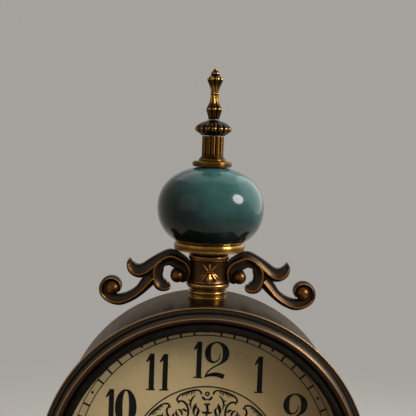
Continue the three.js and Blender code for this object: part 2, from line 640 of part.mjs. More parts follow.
// The rod that clamps a stack, with its washers and nuts inside the drum and the plinth
function addRods() {
  const facetSag = fit.drumInner * (1 - Math.cos(Math.PI / drumSides));
  const washerSag = fit.drumInner - Math.sqrt(fit.drumInner ** 2 - rod.washerRadius ** 2);
  const washerGap = seatGap + facetSag + washerSag;
  const washer = tube(rod.washerRadius, rod.hole, 0, rod.washerThickness, smallSides);
  const nutBore = bar(rod.hole, -overrun, rod.nutHeight + overrun, smallSides);
  const hexNut = hexagon(rod.nutFlats, 0, rod.nutHeight).subtract(nutBore);
  const stackOfNut = rod.washerThickness + rod.nutHeight + 2 * seatGap;

  const crestWasher = height.dial + fit.drumInner - washerGap - rod.washerThickness;
  const crestLow = crestWasher - rod.nutHeight - seatGap - rod.spare;
  const shoulder = height.spire - seatGap;
  const crestRod = bar(rod.radius, crestLow, shoulder, smallSides)
    .add(bar(spire.studRadius, shoulder, height.spire + spire.bore - seatGap, smallSides));
  addPiece(clock, 'crest_rod_washer', washer, look.steel).position.z = crestWasher;
  addPiece(clock, 'crest_rod_nut', hexNut, look.steel).position.z = crestWasher - seatGap - rod.nutHeight;
  addPiece(clock, 'crest_rod', crestRod, look.steel);

  const innerWasher = height.dial - fit.drumInner + washerGap;
  const innerNut = innerWasher + rod.washerThickness + seatGap;
  const web = height.plinth + plinth.height * plinthHollowShares[0][1];
  const low = web - stackOfNut - rod.spare;
  addPiece(clock, 'pedestal_washer_top', washer, look.steel).position.z = innerWasher;
  addPiece(clock, 'pedestal_nut_top', hexNut, look.steel).position.z = innerNut;
  const footWasher = web - seatGap - rod.washerThickness;
  addPiece(clock, 'pedestal_washer_foot', washer, look.steel).position.z = footWasher;
  addPiece(clock, 'pedestal_nut_foot', hexNut, look.steel).position.z = web - stackOfNut;
  const high = innerNut + rod.nutHeight + rod.spare;
  addPiece(clock, 'pedestal_rod', bar(rod.radius, low, high, smallSides), look.steel);
}

function addPedestal() {
  addPiece(clock, 'base_pad', bar(plinth.radius - pad.inset, 0, pad.thickness, roundSides), look.felt);

  const outer = sharedOutline(plinthShares, 0, plinth.radius, 0, plinth.height);
  const hollow = sharedOutline(plinthHollowShares, 0, plinth.radius, 0, plinth.height);
  const foot = turned([[rod.hole, plinth.height], [rod.hole, hollow[0][1]], ...hollow, ...outer], roundSides);
  addPiece(clock, 'plinth', foot, look.bronze).position.z = height.plinth;

  const lowRing = turned(easedRing(footRing.radius, rod.hole, footRing.height, footRing.round), ringSides);
  addPiece(clock, 'pedestal_ring_foot', lowRing, look.brass).position.z = height.footRing;
  const glazed = hollowBall(footBall, footBall.topBore);
  addPiece(clock, 'pedestal_ball', glazed, look.glaze).position.z = height.footBall + footBall.seatDrop;
  const highRing = turned(easedRing(topRing.radius, rod.hole, topRing.height, topRing.round), ringSides);
  addPiece(clock, 'pedestal_ring_top', highRing, look.brass).position.z = height.topRing;

  const hub = hubSolid(lowerHub, lowerHubShares, rod.hole);
  addPiece(clock, 'lower_hub', hub, look.bronze).position.z = height.lowerHub;
  const casting = scrollCasting(
    sideScroll,
    [...scaledRows(sideArmShares, sideScroll), ...curlRows(sideArmCurl, sideScroll)],
    [...scaledRows(sideLowerShares, sideScroll), ...curlRows(sideLowerCurl, sideScroll)],
    scaledRows(sideLeafShares, sideScroll),
    [sideArmCurl, sideLowerCurl],
  );
  const rootHeight = lowerHub.tenonLow + lowerHub.tenonHeight / 2;
  const ringCut = bar(topRing.radius + seatGap, -topRing.height, 0, ringSides);
  const raised = move(casting, 0, 0, rootHeight);
  addScrollPair('side_scroll', raised, lowerHub, lowerHubShares, height.lowerHub, ringCut);

  const waist = lowerCollar.waistRadius;
  const outline = sharedOutline(collarShares, waist, lowerCollar.radius, 0, lowerCollar.height);
  const saddleTop = lowerCollar.height + crestCollar.saddleDepth;
  const saddle = [...outline, [outline.at(-1)[0], saddleTop], [rod.hole, saddleTop]];
  const collar = turned([[rod.hole, 0], ...saddle], ringSides)
    .subtract(move(drumClearance(), 0, 0, lowerCollar.height + seatGap + drum.radius));
  addPiece(clock, 'lower_collar', collar, look.brass).position.z = height.lowerCollar;
}

function addDrum() {
  const inner = fit.drumInner;
  const dialLedge = depth.dial - dial.thickness - seatGap;
  const dialLedgeBack = dialLedge - drum.dialLedgeDepth;
  const rearLedgeBack = depth.rearLedge - drum.rearLedgeDepth;
  const shellOutline = [
    [drum.radius, drum.back], [drum.radius, drum.front], [inner, drum.front], [inner, dialLedge],
    [inner - drum.dialLedgeWidth, dialLedge], [inner - drum.dialLedgeWidth, dialLedgeBack],
    [inner, dialLedgeBack], [inner, depth.rearLedge],
    [inner - drum.rearLedgeWidth, depth.rearLedge], [inner - drum.rearLedgeWidth, rearLedgeBack],
    [inner, rearLedgeBack], [inner, drum.back],
  ];
  const rodCut = bar(rod.hole, -drum.radius - overrun, drum.radius + overrun, smallSides).rotate([90, 0, 0]);
  let shell = turned(shellOutline, drumSides).subtract(rodCut);
  const screwHole = bar(backPlate.screwRadius + runningGap, drum.back, depth.rearLedge + overrun, tinySides);
  backScrewPlaces().forEach(([x, y]) => {
    shell = shell.subtract(move(screwHole, x, y, 0));
  });
  addPiece(drumGroup, 'drum_shell', shell, look.drumMetal);
  addBezel();

  const lipBack = depth.throat - throat.lipWidth;
  const flangeFront = lipBack + throat.flangeDepth;
  const throatOutline = [
    [fit.opening, lipBack], [fit.dialStack, lipBack], [fit.dialStack, flangeFront],
    [fit.throat, flangeFront], [fit.throat, depth.throat - throat.lipRound],
    [fit.opening + throat.lipRound, depth.throat], [fit.opening, depth.throat - throat.lipRound],
  ];
  addPiece(drumGroup, 'throat_ring', turned(throatOutline, drumSides), look.black);
  const glassFront = lipBack - seatGap;
  const pane = bar(fit.dialStack, glassFront - glass.thickness, glassFront, drumSides);
  addPiece(drumGroup, 'glass', pane, look.clear);
  const spacerFront = glassFront - glass.thickness - seatGap;
  const spacer = tube(fit.dialStack, fit.opening, depth.dial + seatGap, spacerFront, drumSides);
  addPiece(drumGroup, 'dial_spacer', spacer, look.black);
  const face = tube(fit.dialStack, fit.dialHole, depth.dial - dial.thickness, depth.dial, drumSides);
  addPiece(drumGroup, 'dial', face, look.paper);
}

// The bezel, from its spigot in the drum outwards to the lip and back in over the rounded band
function addBezel() {
  const lipRadius = drum.radius + bezel.lipOverhang;
  const spigotBack = drum.front - bezel.spigotDepth;
  const back = drum.front + seatGap;
  const crest = depth.lip + bezel.bandCrest;
  const grooveOuter = lipRadius - bezel.chamfer / 2;
  const grooveInner = grooveOuter - bezel.grooveWidth;
  const bore = fit.throat + seatGap;
  const flangeFront = depth.throat - throat.lipWidth + throat.flangeDepth + seatGap;
  const outline = [
    [fit.spigotBore, spigotBack], [fit.spigot, spigotBack], [fit.spigot, back],
    [lipRadius - bezel.chamfer, back], [lipRadius, depth.lip - bezel.lipDepth], [lipRadius, depth.lip],
    [grooveOuter, depth.lip + bezel.grooveDepth / 2],
    [(grooveOuter + grooveInner) / 2, depth.lip - bezel.grooveDepth / 2],
    [grooveInner, depth.lip + bezel.grooveDepth], [grooveInner - bezel.chamfer, crest],
    [bore + bezel.innerSlope, crest - bezel.innerDrop / 2], [bore, crest - bezel.innerDrop],
    [bore, flangeFront], [fit.spigotBore, flangeFront],
  ];
  addPiece(drumGroup, 'bezel', turned(outline, drumSides), look.bronze);
}

function backScrewPlaces() {
  const circle = fit.drumInner - backPlate.screwInset;
  return Array.from({ length: backPlate.screwCount }, (_, i) => {
    const angle = 2 * Math.PI * (i + 0.5) / backPlate.screwCount;
    return [circle * Math.cos(angle), circle * Math.sin(angle)];
  });
}

function addRear() {
  const front = depth.rearLedge - drum.rearLedgeDepth - seatGap;
  const back = front - backPlate.thickness;
  const halfWidth = housing.half + backPlate.windowSideMargin;
  const windowLow = housing.bottom - backPlate.windowEndMargin;
  const windowHigh = housing.top + backPlate.windowEndMargin;
  let sheet = bar(fit.drumInner - seatGap, back, front, drumSides)
    .subtract(box(-halfWidth, windowLow, back - overrun, halfWidth, windowHigh, front + overrun));
  const hole = bar(backPlate.screwRadius + seatGap, back - overrun, front + overrun, tinySides);
  const screw = unite([
    bar(backPlate.screwRadius, back - seatGap, back + backPlate.screwLength, tinySides),
    bar(backPlate.screwHeadRadius, back - seatGap - backPlate.screwHeadHeight, back - seatGap, tinySides),
  ]);
  const slot = box(
    -backPlate.screwHeadRadius, -backPlate.screwRadius / 4, back - backPlate.screwHeadHeight - overrun,
    backPlate.screwHeadRadius, backPlate.screwRadius / 4, back - seatGap - backPlate.screwHeadHeight / 2,
  );
  backScrewPlaces().forEach(([x, y], i) => {
    sheet = sheet.subtract(move(hole, x, y, 0));
    addPiece(drumGroup, `back_screw_${i + 1}`, move(screw.subtract(slot), x, y, 0), look.steel);
  });
  const pinZ = back - seatGap - door.knuckleRadius;
  const pinX = halfWidth + door.margin + door.leafWidth;
  const middle = (windowLow + windowHigh) / 2;
  addPiece(drumGroup, 'back_plate', sheet, look.drumMetal);

  const doorFront = back - seatGap;
  const doorBack = doorFront - door.thickness;
  const lie = (solid) => solid.rotate([-90, 0, 0]);
  const knuckle = (low, high) => move(
    lie(tube(door.knuckleRadius, door.pinRadius + runningGap, low, high, tinySides)), pinX, 0, pinZ);
  const half = door.knuckleLength / 2;
  const leafInner = pinX - door.leafWidth;
  const panel = box(
    -halfWidth - door.margin, windowLow - door.margin, doorBack,
    leafInner, windowHigh + door.margin, doorFront,
  );
  const armFront = doorBack + door.armThickness;
  const doorArm = (low, high) => box(leafInner - overrun, low, doorBack, pinX, high, armFront);
  const pinReach = door.knuckleLength * 2;
  const clearance = bar(door.pinRadius + runningGap, -pinReach, pinReach, tinySides);
  const pinClear = move(lie(clearance), pinX, middle, pinZ);
  const knuckleEnds = [
    [middle + half + seatGap, middle + half * 2], [middle - half * 2, middle - half - seatGap],
  ];
  let leafOfDoor = panel;
  knuckleEnds.forEach(([low, high]) => {
    leafOfDoor = leafOfDoor.add(doorArm(low, high)).add(knuckle(low, high));
  });
  const pullX = -halfWidth - door.margin + door.pullInset;
  const pullBore = bar(door.pinRadius + seatGap, doorBack - overrun, doorFront + overrun, tinySides);
  const pullHole = move(pullBore, pullX, middle, 0);
  addPiece(drumGroup, 'rear_door', leafOfDoor.subtract(pinClear).subtract(pullHole), look.drumMetal);

  const leafTop = pinX + door.leafWidth + door.knuckleRadius;
  const leafBack = doorFront - door.leafThickness;
  const fixedLeaf = box(pinX, middle - half, leafBack, leafTop, middle + half, doorFront)
    .add(knuckle(middle - half, middle + half)).subtract(pinClear);
  addPiece(drumGroup, 'door_hinge_leaf', fixedLeaf, look.brass);
  const pin = move(lie(bar(door.pinRadius, -half * 2, half * 2, tinySides)), pinX, middle, pinZ);
  addPiece(drumGroup, 'door_hinge_pin', pin, look.steel);

  const pullOutline = sharedOutline(pullShares, 0, door.pullRadius, doorBack - seatGap, -door.pullHeight);
  const pull = turned([
    [0, doorFront], [door.pinRadius, doorFront], [door.pinRadius, doorBack - seatGap], ...pullOutline,
    [0, doorBack - seatGap - door.pullHeight],
  ], smallSides);
  addPiece(drumGroup, 'door_pull', move(pull, pullX, middle, 0), look.brass);

  const strikeY = middle + half + door.magnetSize;
  const magnetX = -halfWidth - door.magnetSize / 2 - seatGap;
  const magnet = box(
    magnetX - door.magnetSize / 2, strikeY, front + seatGap,
    magnetX + door.magnetSize / 2, strikeY + door.magnetSize, front + seatGap + door.magnetDepth,
  );
  addPiece(drumGroup, 'door_magnet', magnet, look.steel);
}

// A spur gear: straight flanks between the root and the tip
function gearSolid(teeth, low, high, turn) {
  const pitch = gear.module * teeth / 2;
  const tooth = 2 * Math.PI / teeth;
  const tip = pitch + gear.addendum;
  const root = pitch - gear.dedendum;
  const outline = [];
  for (let i = 0; i < teeth; i += 1) {
    const middle = i * tooth;
    const corners = [
      [root, -gear.rootHalfShare], [tip, -gear.tipHalfShare],
      [tip, gear.tipHalfShare], [root, gear.rootHalfShare],
    ];
    corners.forEach(([radius, share]) => {
      const angle = middle + share * tooth;
      outline.push([radius * Math.cos(angle), radius * Math.sin(angle)]);
    });
  }
  return spin(plate(outline, low, high), turn);
}

// A hand that points up: a stem that swells to a spade and ends in a point
function handSolid(hand, shares, low) {
  const long = fit.opening - hand.rimRoom;
  const right = shares.map(([across, up]) => [hand.width / 2 * across, long * up]);
  const left = right.slice(0, -1).reverse().map(([x, y]) => [-x, y]);
  const blade = plate([...right, ...left], low, low + hand.thickness);
  return blade.add(bar(hand.hubRadius, low, low + hand.thickness, smallSides));
}

// The seconds hand: a thin needle with a tail
function needleSolid(hand, low) {
  const half = hand.width / 2;
  const tip = half / 3;
  const long = fit.opening - hand.rimRoom;
  const needle = [[-half, -hand.tail], [half, -hand.tail], [tip, long], [-tip, long]];
  const high = low + hand.thickness;
  return plate(needle, low, high).add(bar(hand.hubRadius, low, high, smallSides));
}

function addHands() {
  const bored = (solid, radius) => {
    const bore = bar(radius + hubFit, depth.dial, depth.secondsEnd + overrun, smallSides);
    return solid.subtract(bore);
  };
  const hour = bored(handSolid(hourHand, hourHandShares, depth.hourHand), fit.hour);
  const minute = bored(handSolid(minuteHand, minuteHandShares, depth.minuteHand), fit.cannon);
  const second = bored(needleSolid(secondHand, depth.secondHand), arbor.secondsRadius);
  addPiece(drumGroup, 'hour_hand', spin(hour, -360 * hourHand.restHours / 12), look.black);
  addPiece(drumGroup, 'minute_hand', spin(minute, -360 * minuteHand.restMinutes / 60), look.black);
  addPiece(drumGroup, 'second_hand', spin(second, -360 * secondHand.restSeconds / 60), look.black);
}

function addMotionWork() {
  const hourLow = depth.hourWheel;
  const hourHigh = hourLow + wheels.hourThickness;
  const hourWheel = gearSolid(gear.hourTeeth, hourLow, hourHigh, 180 / gear.hourTeeth)
    .add(bar(fit.hour, hourLow, depth.hourEnd, smallSides))
    .subtract(bar(fit.hourBore, hourLow - overrun, depth.hourEnd + overrun, smallSides));
  addPiece(drumGroup, 'hour_wheel', hourWheel, look.paleGear);

  const cannonLow = depth.cannonWheel;
  const cannonHigh = cannonLow + wheels.cannonThickness;
  const cannon = gearSolid(gear.cannonTeeth, cannonLow, cannonHigh, 360 / gear.cannonTeeth / 2)
    .add(bar(fit.cannon, cannonLow, depth.cannonEnd, smallSides))
    .subtract(bar(fit.cannonBore, cannonLow - overrun, depth.cannonEnd + overrun, tinySides));
  addPiece(drumGroup, 'cannon_pinion', cannon, look.paleGear);

  const arborLow = depth.motorTop - (depth.motorTop - depth.inside) * motor.arborShare;
  const seconds = bar(arbor.secondsRadius, arborLow, depth.secondsEnd, tinySides);
  addPiece(drumGroup, 'seconds_arbor', seconds, look.steel);

  const knobHigh = depth.caseBack - setKnob.stemGap;
  const wheel = unite([
    gearSolid(gear.wheelTeeth, cannonLow, cannonHigh - seatGap, 0),
    gearSolid(gear.pinionTeeth, cannonHigh - seatGap, hourHigh, 0),
    bar(stem.radius, knobHigh - setKnob.height / 2, hourHigh + seatGap, tinySides),
  ]);
  addPiece(drumGroup, 'minute_wheel', move(wheel, 0, -fit.gears, 0), look.paleGear);

  const rib = setKnob.radius;
  const ribbed = [];
  for (let i = 0; i < setKnob.ribs * 2; i += 1) {
    const radius = i % 2 ? rib : rib - setKnob.ribDepth;
    const angle = Math.PI * i / setKnob.ribs;
    ribbed.push([radius * Math.cos(angle), radius * Math.sin(angle)]);
  }
  const knobFloor = knobHigh - setKnob.height / 2 - seatGap;
  const knob = plate(ribbed, knobHigh - setKnob.height, knobHigh)
    .subtract(bar(stem.radius + seatGap, knobFloor, knobHigh + overrun, tinySides));
  addPiece(drumGroup, 'set_knob', move(knob, 0, -fit.gears, 0), look.plastic);
}

function addMovement() {
  const { half, top, bottom, bayTop } = housing;
  const { wall } = movement;
  const front = depth.caseFront;
  const back = depth.caseBack;
  const { coverFront, inside } = depth;

  const bushEnd = depth.dial + movement.bushReach;
  const bush = bar(fit.bush, front - overrun, bushEnd, smallSides);
  const bore = bar(fit.bushBore, back, bushEnd + overrun, smallSides);
  const bayWall = box(-half, bayTop, inside, half, bayTop + wall, front);
  const shell = box(-half, bottom, inside, half, top, front)
    .subtract(box(-half + wall, bottom + wall, back, half - wall, top - wall, front - wall))
    .add(bayWall).add(bush).subtract(bore);
  addPiece(drumGroup, 'movement_case', shell, look.plastic);

  const washerLow = front + seatGap / 2;
  const washerHigh = washerLow + movement.washerThickness;
  const washer = tube(movement.washerRadius, fit.bush + seatGap, washerLow, washerHigh, smallSides);
  addPiece(drumGroup, 'dial_washer', washer, look.plastic);
  const nutLow = depth.dial + seatGap;
  const nutHigh = nutLow + nut.thickness;
  const dialNut = hexagon(nut.flats, nutLow, nutHigh)
    .subtract(bar(fit.bush + seatGap / 2, nutLow - overrun, nutHigh + overrun, smallSides));
  addPiece(drumGroup, 'dial_nut', dialNut, look.brass);

  const stemHole = bar(stem.radius + stem.clearance, back - overrun, coverFront + overrun, tinySides);
  const cover = box(-half, bayTop, back, half, top, coverFront).subtract(move(stemHole, 0, -fit.gears, 0));
  addPiece(drumGroup, 'movement_cover', cover, look.plastic);
  addCell(front - wall - seatGap - battery.radius, half - wall - seatGap);

  const motorRight = motor.left + motor.width;
  const motorTop = motor.bottom + motor.height;
  const boreLow = depth.motorTop - (depth.motorTop - inside) * motor.boreShare;
  const motorBox = box(motor.left, motor.bottom, inside, motorRight, motorTop, depth.motorTop)
    .subtract(bar(fit.cannonBore, boreLow, depth.motorTop + overrun, tinySides));
  addPiece(drumGroup, 'motor_unit', motorBox, look.plastic);
  const boardLeft = -half + wall + board.sideRoom;
  const boardRight = motor.left - board.motorRoom;
  const boardTop = board.bottom + board.height;
  const circuit = box(boardLeft, board.bottom, inside, boardRight, boardTop, inside + board.thickness);
  addPiece(drumGroup, 'circuit_board', circuit, look.circuit);
  const winding = unite([
    bar(coil.radius, -coil.length / 2, coil.length / 2, smallSides),
    bar(coil.coreRadius, -coil.coreLength / 2, coil.coreLength / 2, tinySides),
  ]).rotate([90, 0, 0]);
  const coilX = motorRight + coil.motorRoom + coil.radius;
  addPiece(drumGroup, 'motor_coil', move(winding, coilX, coil.middle, inside + coil.radius), look.copper);
}

// The AA cell that lies across the case, and its two sprung contacts
function addCell(z, wallFace) {
  const cell = turned([
    [0, 0], [battery.radius, 0], [battery.radius, battery.length], [battery.nubRadius, battery.length],
    [battery.nubRadius, cellLength], [0, cellLength],
  ], ringSides).rotate([0, 90, 0]);
  addPiece(drumGroup, 'battery', move(cell, -cellLength / 2, housing.battery, z), look.cell);
  const strip = box(
    wallFace - contact.thickness, -contact.width / 2, -contact.height / 2,
    wallFace, contact.width / 2, contact.height / 2,
  ).add(bar(contact.springRadius, cellLength / 2 + seatGap, wallFace, smallSides).rotate([0, 90, 0]));
  addPiece(drumGroup, 'contact_plus', move(strip, 0, housing.battery, z), look.steel);
  addPiece(drumGroup, 'contact_minus', move(mirrorX(strip), 0, housing.battery, z), look.steel);
}

addPedestal();
addDrum();
addRear();
addMovement();
addMotionWork();
addHands();
addCrest();
addFinial();
addRods();

export default clock;
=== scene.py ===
import math

import bmesh
import bpy
import numpy as np
from mathutils import Matrix, Vector


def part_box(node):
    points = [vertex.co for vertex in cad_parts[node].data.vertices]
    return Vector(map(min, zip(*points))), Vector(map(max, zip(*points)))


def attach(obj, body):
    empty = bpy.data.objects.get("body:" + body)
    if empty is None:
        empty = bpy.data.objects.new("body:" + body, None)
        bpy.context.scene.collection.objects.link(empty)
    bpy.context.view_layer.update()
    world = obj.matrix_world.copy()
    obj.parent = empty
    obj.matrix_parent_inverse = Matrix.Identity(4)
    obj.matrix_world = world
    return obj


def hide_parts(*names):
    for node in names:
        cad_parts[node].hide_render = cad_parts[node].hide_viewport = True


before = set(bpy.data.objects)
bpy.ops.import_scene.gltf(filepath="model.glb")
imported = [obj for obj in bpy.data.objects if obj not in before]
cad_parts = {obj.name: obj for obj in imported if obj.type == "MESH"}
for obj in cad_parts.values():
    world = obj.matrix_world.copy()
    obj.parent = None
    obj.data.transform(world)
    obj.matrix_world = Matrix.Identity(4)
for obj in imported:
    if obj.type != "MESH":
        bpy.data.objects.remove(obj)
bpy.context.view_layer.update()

MM = 0.001
BODY = "clock_body"

# Camera, as the photograph sees the clock
IMAGE_PIXELS = 416
FOCAL_PIXELS = 741.3
SENSOR = 36.0
CAMERA_PLACE = (-15.9, -504.4, 456.3)
CAMERA_YAW = 0.028
CAMERA_PITCH = 0.086
CAMERA_ROLL = 0.036

# Light and floor
BACKDROP = (0.38, 0.362, 0.338)
FLOOR_COLOUR = (0.48, 0.46, 0.43)
FLOOR_RADIUS = 4000
FLOOR_NEAR = 350
FLOOR_FAR = 1100

# How finely the surfaces are made
ROUND_SIDES = 144
DRUM_SIDES = 240
SMALL_SIDES = 48
CURVE_STEPS = 8
BAND_STEPS = 12
EASE_STEPS = 4
SHARP_DEGREES = 38

# The share of a side that an eased corner may take, and lengths too short to count
MOST_EASE_SHARE = 0.48
LEAST_GAP = 1e-5
LEAST_SIDE = 1e-6
WELD_METRES = 2e-6
COPY_WELD_METRES = 1e-6
SLIVER_METRES = 1e-7


def make_camera():
    data = bpy.data.cameras.new("camera")
    data.sensor_width = SENSOR
    data.lens = FOCAL_PIXELS / IMAGE_PIXELS * SENSOR
    camera = bpy.data.objects.new("camera", data)
    bpy.context.scene.collection.objects.link(camera)
    yaw, pitch, roll = CAMERA_YAW, CAMERA_PITCH, CAMERA_ROLL
    forward = Vector((math.sin(yaw) * math.cos(pitch), math.cos(yaw) * math.cos(pitch), -math.sin(pitch)))
    level = Vector((math.cos(yaw), -math.sin(yaw), 0))
    upright = level.cross(forward)
    right = level * math.cos(roll) + upright * math.sin(roll)
    up = upright * math.cos(roll) - level * math.sin(roll)
    turn = Matrix((right, up, -forward)).transposed().to_4x4()
    camera.matrix_world = Matrix.Translation(Vector(CAMERA_PLACE) * MM) @ turn
    bpy.context.scene.camera = camera


# Outlines and paths

def between(a, b, share):
    return tuple(p + (q - p) * share for p, q in zip(a, b))


def stride(a, b):
    """The curve's own measure between two points, which keeps it from looping."""
    return max(math.dist(a[:2], b[:2]), LEAST_GAP) ** 0.5


def flowing(points, steps=CURVE_STEPS):
    """Points on a smooth curve through the given ones, whose first two numbers are their place."""
    held = [between(points[1], points[0], 2), *points, between(points[-2], points[-1], 2)]
    rows = []
    for a, b, c, d in zip(held, held[1:], held[2:], held[3:]):
        t1 = stride(a, b)
        t2 = t1 + stride(b, c)
        t3 = t2 + stride(c, d)
        for step in range(steps):
            t = t1 + (t2 - t1) * step / steps
            ab = between(a, b, t / t1)
            bc = between(b, c, (t - t1) / (t2 - t1))
            cd = between(c, d, (t - t2) / (t3 - t2))
            early = between(ab, bc, t / t2)
            late = between(bc, cd, (t - t1) / (t3 - t1))
            rows.append(between(early, late, (t - t1) / (t2 - t1)))
    rows.append(tuple(points[-1]))
    return rows


def toward(here, other, ease):
    """The point at an ease from here on the way to another corner."""
    return between(here, other, min(MOST_EASE_SHARE, ease / max(math.dist(here, other), LEAST_SIDE)))


def rounded(corners):
    """A closed outline from corners of (x, y, ease), each eased over its own length."""
    points = []
    for i, (x, y, ease) in enumerate(corners):
        here = (x, y)
        start = toward(here, corners[i - 1][:2], ease)
        end = toward(here, corners[(i + 1) % len(corners)][:2], ease)
        for step in range(EASE_STEPS + 1):
            t = step / EASE_STEPS
            points.append(between(between(start, here, t), between(here, end, t), t))
    return points


def plate(inner, outer, low, high, ease):
    """The outline of a flat disc, or of a ring with a hole of radius inner, with eased corners."""
    inside = ease if inner else 0
    return rounded([(inner, low, inside), (outer, low, ease), (outer, high, ease), (inner, high, inside)])


def directed(path):
    """Each point of a path, with the unit direction that the path has there."""
    for i, row in enumerate(path):
        ahead = path[min(i + 1, len(path) - 1)]
        behind = path[max(i - 1, 0)]
        yield row, Vector((ahead[0] - behind[0], ahead[1] - behind[1])).normalized()


def shared(shares, inner, outer, low, tall):
    """Shares of a radius and a height, turned into lengths."""
    return [(inner + (outer - inner) * across, low + tall * up) for across, up in shares]


def span(node):
    """The lowest and highest corners of a CAD node."""
    low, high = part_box(node)
    return [value / MM for value in low], [value / MM for value in high]


def half_width(node):
    low, high = span(node)
    return (high[0] - low[0]) / 2


def levels(node):
    """The lowest and highest level of a CAD node."""
    low, high = span(node)
    return low[2], high[2]


def depths(node):
    """The back and front of a CAD node, as distances forward of the clock's middle."""
    low, high = span(node)
    return -high[1], -low[1]


def drum_frame():
    """The height of the drum's axis."""
    return sum(levels("drum_shell")) / 2


# Meshes

# How wear is read from a mesh: the bend that counts as most, and how often it is softened
MOST_BEND = 2
LEAST_SQUARE = 1e-4
SOFTENINGS = 2
PLAIN_RUB = 0.5


def write_rub(mesh, values):
    """Keeps how worn each vertex is, from 0 in a hollow to 1 on an edge; on the palm leaves, the lowest
    values are painted shade.
    """
    layer = mesh.attributes.new("rub", "FLOAT", "POINT")
    layer.data.foreach_set("value", np.asarray(values, dtype=np.float32))


def mark_rub(mesh):
    """Works out the wear from how sharply the mesh bends at each vertex."""
    count = len(mesh.vertices)
    places = np.empty(count * 3)
    normals = np.empty(count * 3)
    edges = np.empty(len(mesh.edges) * 2, dtype=int)
    mesh.vertices.foreach_get("co", places)
    mesh.vertex_normals.foreach_get("vector", normals)
    mesh.edges.foreach_get("vertices", edges)
    places = places.reshape(-1, 3) / MM
    normals = normals.reshape(-1, 3)
    a, b = edges.reshape(-1, 2).T
    gap = places[a] - places[b]
    square = np.maximum((gap ** 2).sum(axis=1), LEAST_SQUARE)
    total = np.zeros(count)
    share = np.zeros(count)
    for one, sign in ((a, 1), (b, -1)):
        bend = 2 * sign * (normals[one] * gap).sum(axis=1) / square
        np.add.at(total, one, np.clip(bend, -MOST_BEND, MOST_BEND))
        np.add.at(share, one, 1)
    rub = total / np.maximum(share, 1)
    for _ in range(SOFTENINGS):
        soft = rub.copy()
        np.add.at(soft, a, rub[b])
        np.add.at(soft, b, rub[a])
        rub = soft / (share + 1)
    write_rub(mesh, np.clip(PLAIN_RUB + rub, 0, 1))


def add_piece(name, points, faces, slot, nodes=(), body=BODY, look=None, sharp=SHARP_DEGREES, rub=None):
    """A piece from points in millimetres, which stands for these CAD nodes."""
    mesh = bpy.data.meshes.new(name)
    mesh.from_pydata([Vector(point) * MM for point in points], [], faces)
    if rub is not None:
        write_rub(mesh, rub)
    work = bmesh.new()
    work.from_mesh(mesh)
    bmesh.ops.remove_doubles(work, verts=work.verts, dist=WELD_METRES)
    bmesh.ops.dissolve_degenerate(work, edges=work.edges, dist=SLIVER_METRES)
    bmesh.ops.recalc_face_normals(work, faces=work.faces)
    work.to_mesh(mesh)
    work.free()
    dress(name, mesh, look or slot, nodes, body, sharp, rub is None)


def dress(name, mesh, look, nodes, body, sharp=SHARP_DEGREES, rub_from_shape=True):
    """Makes a mesh a piece of a body, with a look and the CAD nodes that it stands for."""
    mesh.shade_smooth()
    mesh.set_sharp_from_angle(angle=math.radians(sharp))
    if rub_from_shape:
        mark_rub(mesh)
    mesh.materials.clear()
    mesh.materials.append(LOOKS[look])
    piece = bpy.data.objects.new(name, mesh)
    bpy.context.scene.collection.objects.link(piece)
    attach(piece, body)
    if nodes:
        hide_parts(*nodes)
    return piece


def skin(rings, around, closed=False):
    """Faces between rings of points; closed joins the last to the first, and open ends are capped."""
    faces = []
    for i in range(rings if closed else rings - 1):
        here = i * around
        ahead = (i + 1) % rings * around
        for j in range(around):
            after = (j + 1) % around
            faces.append((here + j, ahead + j, ahead + after, here + after))
    if not closed:
        faces += [tuple(range(around)), tuple(range((rings - 1) * around, rings * around))]
    return faces


def lathe(outline, sides, bend=None):
    """Points and faces of a closed outline of (radius, height) turned about the Z axis."""
    points = []
    for i in range(sides):
        angle = math.tau * i / sides
        for radius, height in outline:
            reach = bend(radius, height, angle) if bend else radius
            points.append((reach * math.cos(angle), reach * math.sin(angle), height))
    return points, skin(sides, len(outline), closed=True)


def moved(points, x=0.0, y=0.0, z=0.0):
    return [(p[0] + x, p[1] + y, p[2] + z) for p in points]


def on_drum_axis(points):
    """Lays a shape about the Z axis down on the drum's axis, with its top to the front."""
    centre = drum_frame()
    return [(x, -z, y + centre) for x, y, z in points]


def joined(parts):
    """Several sets of points and faces as one."""
    points, faces = [], []
    for more_points, more_faces in parts:
        start = len(points)
        points += more_points
        faces += [tuple(start + corner for corner in face) for face in more_faces]
    return points, faces


# Facets that meet at less than the first angle are one face, and edges above the second are eased
FLAT_DEGREES = 1
EDGE_DEGREES = 40
EASE_SEGMENTS = 2


def eased_copy(node, slot, body, fillet):
    """A CAD node's own shape with flat facets merged and its edges eased."""
    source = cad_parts[node]
    mesh = source.data.copy()
    work = bmesh.new()
    work.from_mesh(mesh)
    bmesh.ops.transform(work, matrix=source.matrix_world, verts=work.verts)
    bmesh.ops.remove_doubles(work, verts=work.verts, dist=COPY_WELD_METRES)
    flat = math.radians(FLAT_DEGREES)
    bmesh.ops.dissolve_limit(work, angle_limit=flat, verts=work.verts, edges=work.edges)
    work.to_mesh(mesh)
    work.free()
    spare = [layer.name for layer in mesh.attributes if not (layer.is_required or layer.is_internal)]
    for name in spare:
        mesh.attributes.remove(mesh.attributes[name])
    piece = dress(f"{node}_eased", mesh, slot, [node], body)
    bevel = piece.modifiers.new("eased", "BEVEL")
    bevel.width = fillet * MM
    bevel.segments = EASE_SEGMENTS
    bevel.limit_method = "ANGLE"
    bevel.angle_limit = math.radians(EDGE_DEGREES)


# Materials

GRAIN_SPAN = (0.3, 0.7)


